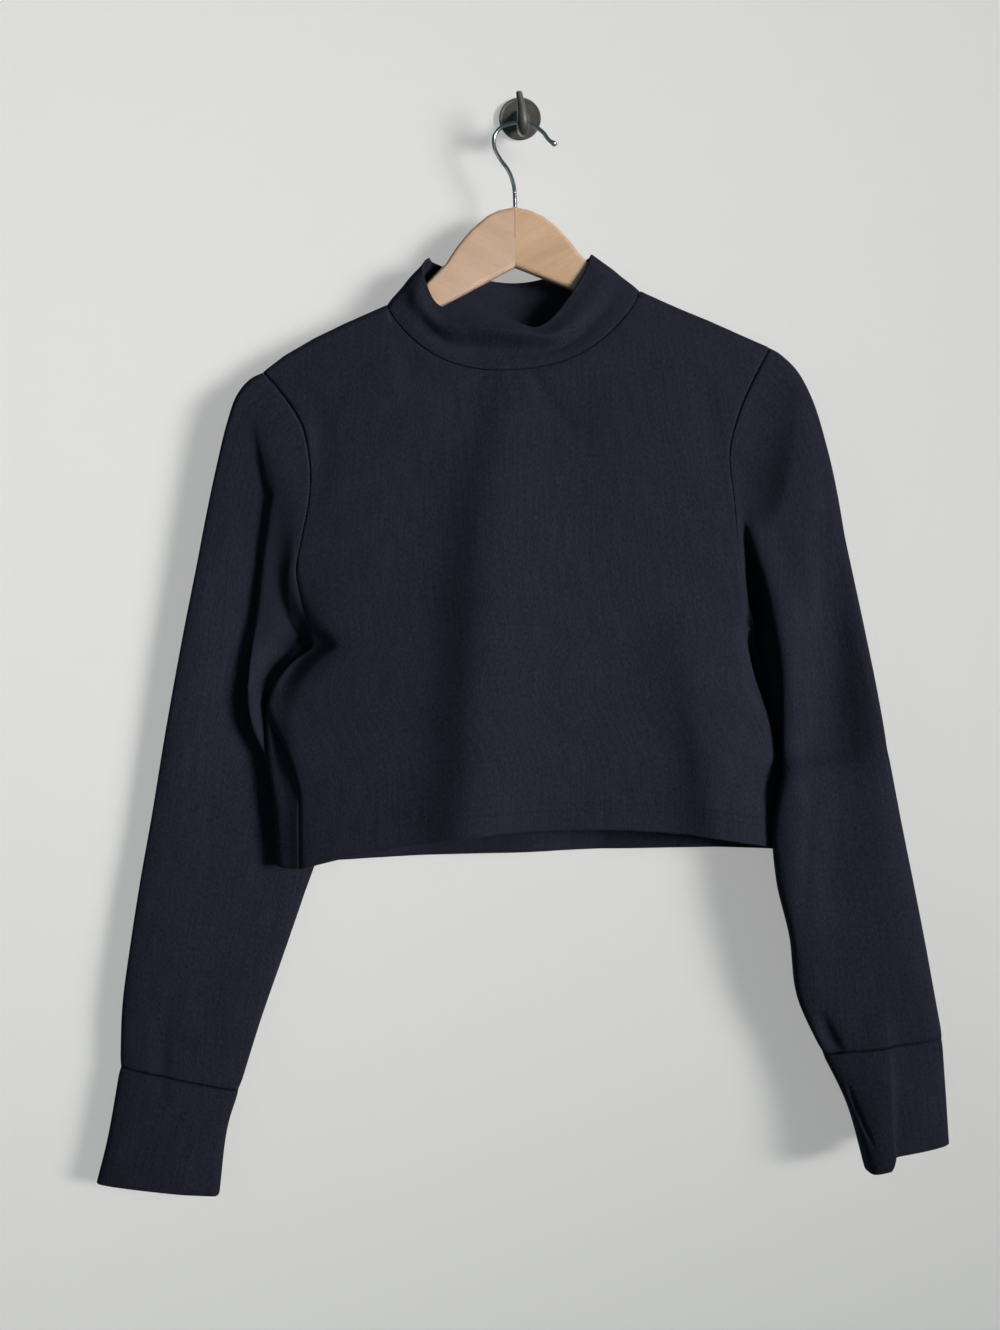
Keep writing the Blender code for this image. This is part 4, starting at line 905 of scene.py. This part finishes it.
FOLDS["sleeve_left_back"] = (
    fold((
        (-236, -300, 0, 14, 12), (-246, -400, 3, 16, 12), (-258, -500, 4, 18, 14),
        (-262, -640, 2.6, 18, 16), (-272, -760, 0, 18, 16),
    )),
    fold((
        (-205, -440, 0, 7, 8), (-206, -480, -2, 8, 8), (-210, -540, -2.5, 9, 9), (-226, -620, 0, 9, 9),
    )),
)
FOLDS["sleeve_right_back"] = (
    fold((   # pressed flat where it hangs in front of the body
        (222, -530, 0, 10, 14), (222, -560, -7, 11, 16), (224, -605, -8, 12, 18), (228, -645, -3, 12, 18),
        (232, -680, 0, 12, 18),
    )),
    fold((
        (240, -300, 0, 14, 16), (250, -400, 3, 14, 18), (262, -520, 3.6, 14, 18), (272, -640, 2.6, 16, 18),
        (286, -740, 0, 16, 18),
    )),
    fold((
        (226, -420, 0, 8, 8), (238, -490, -3, 8, 8), (246, -570, -3.2, 9, 9), (252, -650, 0, 9, 9),
    )),
)
sleeve_left = sleeve_points("sleeve_left", SLEEVE_LEFT, armhole_loop(0), SLEEVE_ROWS)
sleeve_right = sleeve_points("sleeve_right", SLEEVE_RIGHT, armhole_loop(-1), SLEEVE_ROWS)
sleeve_left_out, sleeve_right_out = -grid_normals(sleeve_left, True), grid_normals(sleeve_right, True)

# ---------------------------------------------------------------- cuffs
# Deep cuffs, a double band of the same knit folded at the wrist and sewn to the sleeve end.
CUFF_LEFT = (
    SLEEVE_LEFT[-1],
    (-351, -860, -251, -860, 12, 12, 13, 0), (-361, -901, -257, -912, 12, 11, 13, 0),
)
CUFF_RIGHT = (
    SLEEVE_RIGHT[-1],
    (360, -818, 277, -830, -4, -10, 15, 0), (363, -862.5, 292, -884, -3, -12, 16, 0),
)
CUFF_ROWS, CUFF_THICK = 44, 2.6
STEP_X, STEP_WIDTH, STEP_END_X, STEP_LENGTH, STEP_RISE = 309.0, 5.0, 364.0, 50.0, 8.0
FOLDS["cuff_right"] = (
    CUFF_RIDGE,
    fold((   # the slit for the thumb, shut flat beside the inner edge
        (275.5, -810, 0, 1.6, 1.2), (278.5, -821, -2, 1.8, 1.2), (284.5, -837, -2.6, 2, 1.2),
        (290.5, -852, -2, 1.8, 1.2), (294, -862, 0, 1.6, 1.2),
    )),
)
FOLDS["cuff_left"] = (
    fold((
        (-304, -800, -1.8, 7, 6), (-304, -822, -0.8, 7, 6), (-303, -840, 0, 7, 6),
    )),
    fold((
        (-266, -840, 0, 10, 9), (-268, -880, -1.2, 12, 9), (-268, -920, -1.6, 12, 9),
    )),
)
cuff_left = sleeve_points("cuff_left", CUFF_LEFT, None, CUFF_ROWS)
cuff_right = sleeve_points("cuff_right", CUFF_RIGHT, None, CUFF_ROWS)
# Behind its fold the right cuff's edge hangs higher
cuff_x = cuff_right[..., 0]
behind_fold = smooth_step((cuff_x - STEP_X) / STEP_WIDTH) * (STEP_END_X - cuff_x) / STEP_LENGTH
cuff_right[..., 2] += STEP_RISE * behind_fold * np.linspace(0, 1, CUFF_ROWS + 1)[:, None] ** 2
cuff_left_out, cuff_right_out = -grid_normals(cuff_left, True), grid_normals(cuff_right, True)

# ---------------------------------------------------------------- collar
# A mock neck, one band folded double at its top edge and joined at the centre back. It slumps in front of
# the hanger, so its front bulges over a soft crease and its top edge leans in.
# A row is a point of the top edge: share of the way round from the left corner by the front, x, y, z
COLLAR_TOP = (
    (0.00, -77, 0, -113), (0.02, -80, -6.5, -117), (0.045, -81.5, -9.5, -123), (0.08, -80, -12, -132),
    (0.14, -69, -14, -155), (0.22, -40, -15, -160), (0.29, -10, -15, -167), (0.36, 18, -15, -174),
    (0.42, 41, -13.5, -151), (0.455, 55, -10.5, -128), (0.48, 60.5, -7, -115), (0.50, 62, 0, -110),
    (0.52, 61, 7, -111), (0.57, 48, 13, -118), (0.66, 20, 17, -128), (0.75, -7, 19, -131),
    (0.84, -36, 17, -127), (0.93, -63, 13, -119), (0.98, -76, 7, -114), (1.00, -77, 0, -113),
)
COLLAR_ROWS, COLLAR_THICK = 40, 2.2
COLLAR_CENTRE, COLLAR_SQUASH = (-6.0, 0.0), (3.5, 1.0)
# Buckles: share of the way round, its spread, height up the collar, its spread, rise outward
BUCKLES = (
    (0.27, 0.10, 0.70, 0.17, 7), (0.24, 0.18, 0.62, 0.20, 5), (0.25, 0.15, 0.34, 0.13, -3.5),
    (0.38, 0.06, 0.34, 0.14, -1.5), (0.07, 0.025, 0.62, 0.5, 1.5), (0.74, 0.10, 0.5, 0.35, 2),
)


def collar_points():
    """Outer skin of the collar: rings from the neck seam up, each from the left corner by the front."""
    across = slice(SHOULDER_STEPS, SHOULDER_STEPS + NECK_STEPS + 1)
    base = np.vstack([front[-1, across], back[-1, across][::-1][1:-1]])
    shares = np.arange(len(base)) / len(base)
    top = through(COLLAR_TOP, shares)
    rings = []
    for height in np.linspace(0, 1, COLLAR_ROWS + 1):
        ring = base + (top - base) * height
        outward = unit((ring[:, :2] - COLLAR_CENTRE) / np.square(COLLAR_SQUASH))
        push = np.zeros(len(ring))
        for at, spread, level, deep, rise in BUCKLES:
            push += rise * np.exp(-(((shares - at) / spread) ** 2) - ((height - level) / deep) ** 2)
        ring[:, :2] += outward * push[:, None] * (1 - height**8) * (1 - np.exp(-height * 12))
        rings.append(ring)
    return np.array(rings)


collar = collar_points()
collar_out = grid_normals(collar, True)

# ---------------------------------------------------------------- sewing the pieces together
# Overlocked seams join the pieces edge to edge, so two pieces share one normal along each seam.
low, neck = ROWS_BELOW, slice(SHOULDER_STEPS, SHOULDER_STEPS + NECK_STEPS + 1)
for seam in (
    (slice(0, low + 1), 0), (slice(0, low + 1), -1),
    (-1, slice(None, SHOULDER_STEPS + 1)), (-1, slice(-SHOULDER_STEPS - 1, None)),
):
    front_out[seam] = back_out[seam] = unit(front_out[seam] + back_out[seam])
for sleeve, edge in ((sleeve_left_out, 0), (sleeve_right_out, -1)):
    loop = np.vstack([front_out[low:, edge][::-1], back_out[low:, edge][1:-1]])
    sleeve[0] = unit(loop + sleeve[0])
    front_out[low:, edge] = sleeve[0, : ROWS_ABOVE + 1][::-1]
    back_out[low:, edge] = np.vstack([sleeve[0, ROWS_ABOVE:], sleeve[0, :1]])
for sleeve, cuff in ((sleeve_left_out, cuff_left_out), (sleeve_right_out, cuff_right_out)):
    sleeve[-1] = cuff[0] = unit(sleeve[-1] + cuff[0])
loop = np.vstack([front_out[-1, neck], back_out[-1, neck][::-1][1:-1]])
collar_out[0] = unit(loop + collar_out[0])
front_out[-1, neck] = collar_out[0, : NECK_STEPS + 1]
back_out[-1, neck] = np.vstack([collar_out[0, NECK_STEPS:], collar_out[0, :1]])[::-1]


def tube_uv(points):
    """Flat coordinates of a tube: round from its first column, closed by one more, and along from row 0."""
    closed = np.concatenate([points, points[:, :1]], axis=1)
    round_it = lengths_along(np.swapaxes(closed, 0, 1)).T
    length = lengths_along(points).mean(axis=1, keepdims=True)
    return np.stack([round_it, np.broadcast_to(length, round_it.shape)], axis=-1)


SEAM_TROUGHS = ((0.7, 5.0), (0.15, 1.2))     # depth and width


def tuck(points, normals, seams):
    """The outer skin drawn down into its seams: a wide soft trough and a small one at the stitching."""
    near = edge_distance(points, seams)
    depth = sum(deep * np.exp(-((near / wide) ** 2)) for deep, wide in SEAM_TROUGHS)
    return points - normals * depth[..., None]


def level_run(points, normals, edge, far, size):
    """A run across a grid of points at a distance from its first or last row, with the normals on it."""
    away = edge_distance(points, (edge,))
    if edge == "last":
        away, points, normals = away[::-1], points[::-1], normals[::-1]
    spots = []
    for column in range(points.shape[1]):
        here = np.interp(far, away[:, column], np.arange(len(points)))
        row, t = min(int(here), len(points) - 2), here - int(here)
        spots.append(np.concatenate([
            points[row, column] * (1 - t) + points[row + 1, column] * t,
            normals[row, column] * (1 - t) + normals[row + 1, column] * t,
        ]))
    spots = np.array(spots)
    length = lengths_along(spots[:, :3])
    at = np.arange(size / 2, length[-1] - size / 2, size)
    return np.stack([np.interp(at, length, spots[:, c]) for c in range(6)], axis=-1)


STITCH_STEP, STITCH_LONG, STITCH_THICK = 3.2, 2.3, 0.34
ABOVE_CUFF, BESIDE_ARMHOLE = 2.4, 1.3       # how far the rows stand from those seams
BAND_FADE = 4.0                             # a double band thins to one layer this close to its seam


def stitching(name, runs, thread):
    """Rows of small stitches, each a spindle of thread that lies half in the cloth."""
    corners, faces = [], []
    for run in runs:
        ahead, out = unit(np.gradient(run[:, :3], axis=0)), unit(run[:, 3:])
        beside = np.cross(ahead, out)
        for at, on, up, across in zip(run[:, :3], ahead, out, beside):
            first = len(corners)
            corners += [at - on * STITCH_LONG / 2, at + on * STITCH_LONG / 2]
            for way in (across, up, -across, -up):
                corners.append(at + way * STITCH_THICK)
            for k in range(4):
                one, other = first + 2 + k, first + 2 + (k + 1) % 4
                faces += [(first, one, other), (first + 1, other, one)]
    mesh = bpy.data.meshes.new(name)
    mesh.from_pydata((np.array(corners) * MM).tolist(), [], faces)
    mesh.materials.append(thread)
    return soft_piece(name, mesh)


def thread(name, dye):
    """Spun thread with a slight sheen, a little uneven in tone."""
    finish = Finish(name, roughness=0.75, Specular_IOR_Level=0.12)
    at = finish.place()
    ply = finish.noise(at, 1400.0, 2.0)
    finish.set(Base_Color=finish.mix(ply.ramp(0.35, 0.65), dye, tuple(c * 1.8 for c in dye)))
    finish.set(Normal=finish.bump(ply, 0.0001, 0.5))
    return finish.material


# The body's cloth is thicker where its hem is turned up inside
hem_row = panel_uv(front)[..., 1]
body_thick = CLOTH + HEM_EXTRA / (1 + np.exp((hem_row - HEM_TURN) / HEM_FADE))
# Name, outer skin and its normals, whether it is a tube, thickness, free edges, seams, cloth
PIECES = (
    ("front", front, front_out, False, body_thick[..., None], (0,), ("left", "right", "last"), body_knit),
    ("back", back, back_out, False, body_thick[..., None], (0,), ("left", "right", "last"), body_knit),
    ("sleeve_left", sleeve_left, sleeve_left_out, True, CLOTH, (), ("first", "last"), plain_knit),
    ("sleeve_right", sleeve_right, sleeve_right_out, True, CLOTH, (), ("first", "last"), plain_knit),
    ("cuff_left", cuff_left, cuff_left_out, True, CUFF_THICK, (-1,), ("first",), plain_knit),
    ("cuff_right", cuff_right, cuff_right_out, True, CUFF_THICK, (-1,), ("first",), plain_knit),
    ("collar", collar, collar_out, True, COLLAR_THICK, (-1,), ("first",), plain_knit),
)
navy_thread = thread("navy_thread", (0.01, 0.01, 0.016))
grey_thread = thread("grey_thread", (0.024, 0.024, 0.032))
# Twin rows round the hem, one row above each cuff seam and one on the sleeve's side of each armhole
STITCHED = {
    "front": ("first", HEM_STITCHES, navy_thread),
    "back": ("first", HEM_STITCHES, navy_thread),
    "sleeve_left": ("last", (ABOVE_CUFF,), navy_thread),
    "sleeve_right": ("last", (ABOVE_CUFF,), navy_thread),
}
for name, points, normals, round_about, thick, free, seams, material in PIECES:
    uv = tube_uv(points) if round_about else panel_uv(points)
    if round_about:
        seam_side = edge_distance(points, seams)[..., None]
        thick = CLOTH + (thick - CLOTH) * (1 - np.exp(-((seam_side / BAND_FADE) ** 2)))
    sewn = tuck(points, normals, seams)
    piece = cloth_wall(name + "_cloth", sewn, normals, round_about, uv, thick, free, seams, material)
    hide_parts(name)
    if name in STITCHED:
        edge, rows, yarn = STITCHED[name]
        runs = [level_run(sewn, normals, edge, far, STITCH_STEP) for far in rows]
        stitching(name + "_stitches", runs, yarn)
    if name.startswith("sleeve"):
        armhole = [level_run(sewn, normals, "first", BESIDE_ARMHOLE, STITCH_STEP)]
        stitching(name + "_armhole_stitches", armhole, grey_thread)

# ---------------------------------------------------------------- stage
# A pale wall and, far below, a pale floor. A soft key stands at the front right and a weaker light at the
# front left. A faint cool glow comes up from the floor, and one light stands behind the wall, for views from
# there. The camera is level, at the height of the chest.
CAMERA_AT, CAMERA_LENS = (-16.15, -1350.0, -459.0), 43.0
bpy.ops.object.camera_add(location=[c * MM for c in CAMERA_AT], rotation=(math.pi / 2, 0, 0))
camera = bpy.context.object
camera.data.lens = CAMERA_LENS
camera.data.sensor_width = 36.0
camera.data.clip_start, camera.data.clip_end = 0.01, 50.0
bpy.context.scene.camera = camera
WALL_SIZE, FLOOR_Z = 6.0, -1.45
GLOW_AT_RIGHT, GLOW_MORE_AT_LEFT = 0.2367, 0.34
wall_paint = Finish("pale_wall", roughness=0.95, Specular_IOR_Level=0.1, Emission_Strength=1.0)
# Painted light: the wall glows, brighter toward the left, standing in for light falling on it; its own lit
# colour is dim, so shadows on it stay faint.
to_right, _, _ = wall_paint.parts(wall_paint.place())
painted_wall_light = (1.0 - to_right.ramp(-0.4, 0.45)) * GLOW_MORE_AT_LEFT + GLOW_AT_RIGHT
wall_paint.set(Base_Color=(0.38, 0.378, 0.372),
               Emission_Color=wall_paint.mix(painted_wall_light, (0.25, 0.246, 0.24), (0.5, 0.495, 0.485)))
see_through = wall_paint.node("ShaderNodeBsdfTransparent")
behind = wall_paint.node("ShaderNodeNewGeometry", output="Backfacing")
blend = wall_paint.tree.nodes.new("ShaderNodeMixShader")
paint = Value(wall_paint.tree, wall_paint.shader.outputs[0])
for socket, given in zip(blend.inputs, (behind, paint, see_through)):
    feed(wall_paint.tree, socket, given)
output = wall_paint.tree.nodes["Material Output"].inputs[0]
feed(wall_paint.tree, output, Value(wall_paint.tree, blend.outputs[0]))
bpy.ops.mesh.primitive_plane_add(
    size=WALL_SIZE, location=(0, (WALL_Y + 0.5) * MM, -0.5), rotation=(math.pi / 2, 0, 0)
)
wall = bpy.context.object
wall.name = "backdrop"
wall.data.materials.append(wall_paint.material)
for kind in ("diffuse", "glossy", "transmission", "shadow"):
    setattr(wall, "visible_" + kind, False)
floor_paint = Finish("pale_floor", roughness=0.9, Specular_IOR_Level=0.1)
floor_paint.set(Base_Color=(0.7, 0.7, 0.69))
bpy.ops.mesh.primitive_plane_add(size=12.0, location=(0, 0, FLOOR_Z))
floor = bpy.context.object
floor.name = "floor"
floor.data.materials.append(floor_paint.material)


def soft_light(name, at, aim, size, power, colour, spread=180.0):
    """A square area light at a place, in metres, turned toward another."""
    bpy.ops.object.light_add(type="AREA", location=at)
    light = bpy.context.object
    light.name = name
    light.data.size, light.data.energy, light.data.color = size, power, colour
    light.data.spread = math.radians(spread)
    way = np.array(aim) - np.array(at)
    yaw = math.atan2(way[1], way[0]) - math.pi / 2
    light.rotation_euler = (math.atan2(math.hypot(way[0], way[1]), -way[2]), 0, yaw)


soft_light("key", (2.9, -2.4, -0.05), (-0.05, 0.0, -0.2), 1.7, 12.6, (1.0, 0.985, 0.98), spread=26.0)
soft_light("second", (-2.2, -2.2, -0.1), (0, 0, -0.25), 0.8, 3.6, (1.0, 0.98, 0.95))
soft_light("floor_glow", (0.0, -1.6, -1.35), (0.0, 0.0, -0.8), 0.9, 0.5, (0.05, 0.8, 1.0))
soft_light("back_fill", (-0.6, 2.2, 0.6), (0, 0, -0.45), 2.0, 22.0, (1.0, 0.99, 0.97))
world = bpy.data.worlds.new("room")
world.use_nodes = True
world.node_tree.nodes["Background"].inputs["Color"].default_value = (0.4, 0.88, 1.0, 1.0)
world.node_tree.nodes["Background"].inputs["Strength"].default_value = 0.09
bpy.context.scene.world = world
bpy.context.scene.view_settings.view_transform = "Standard"
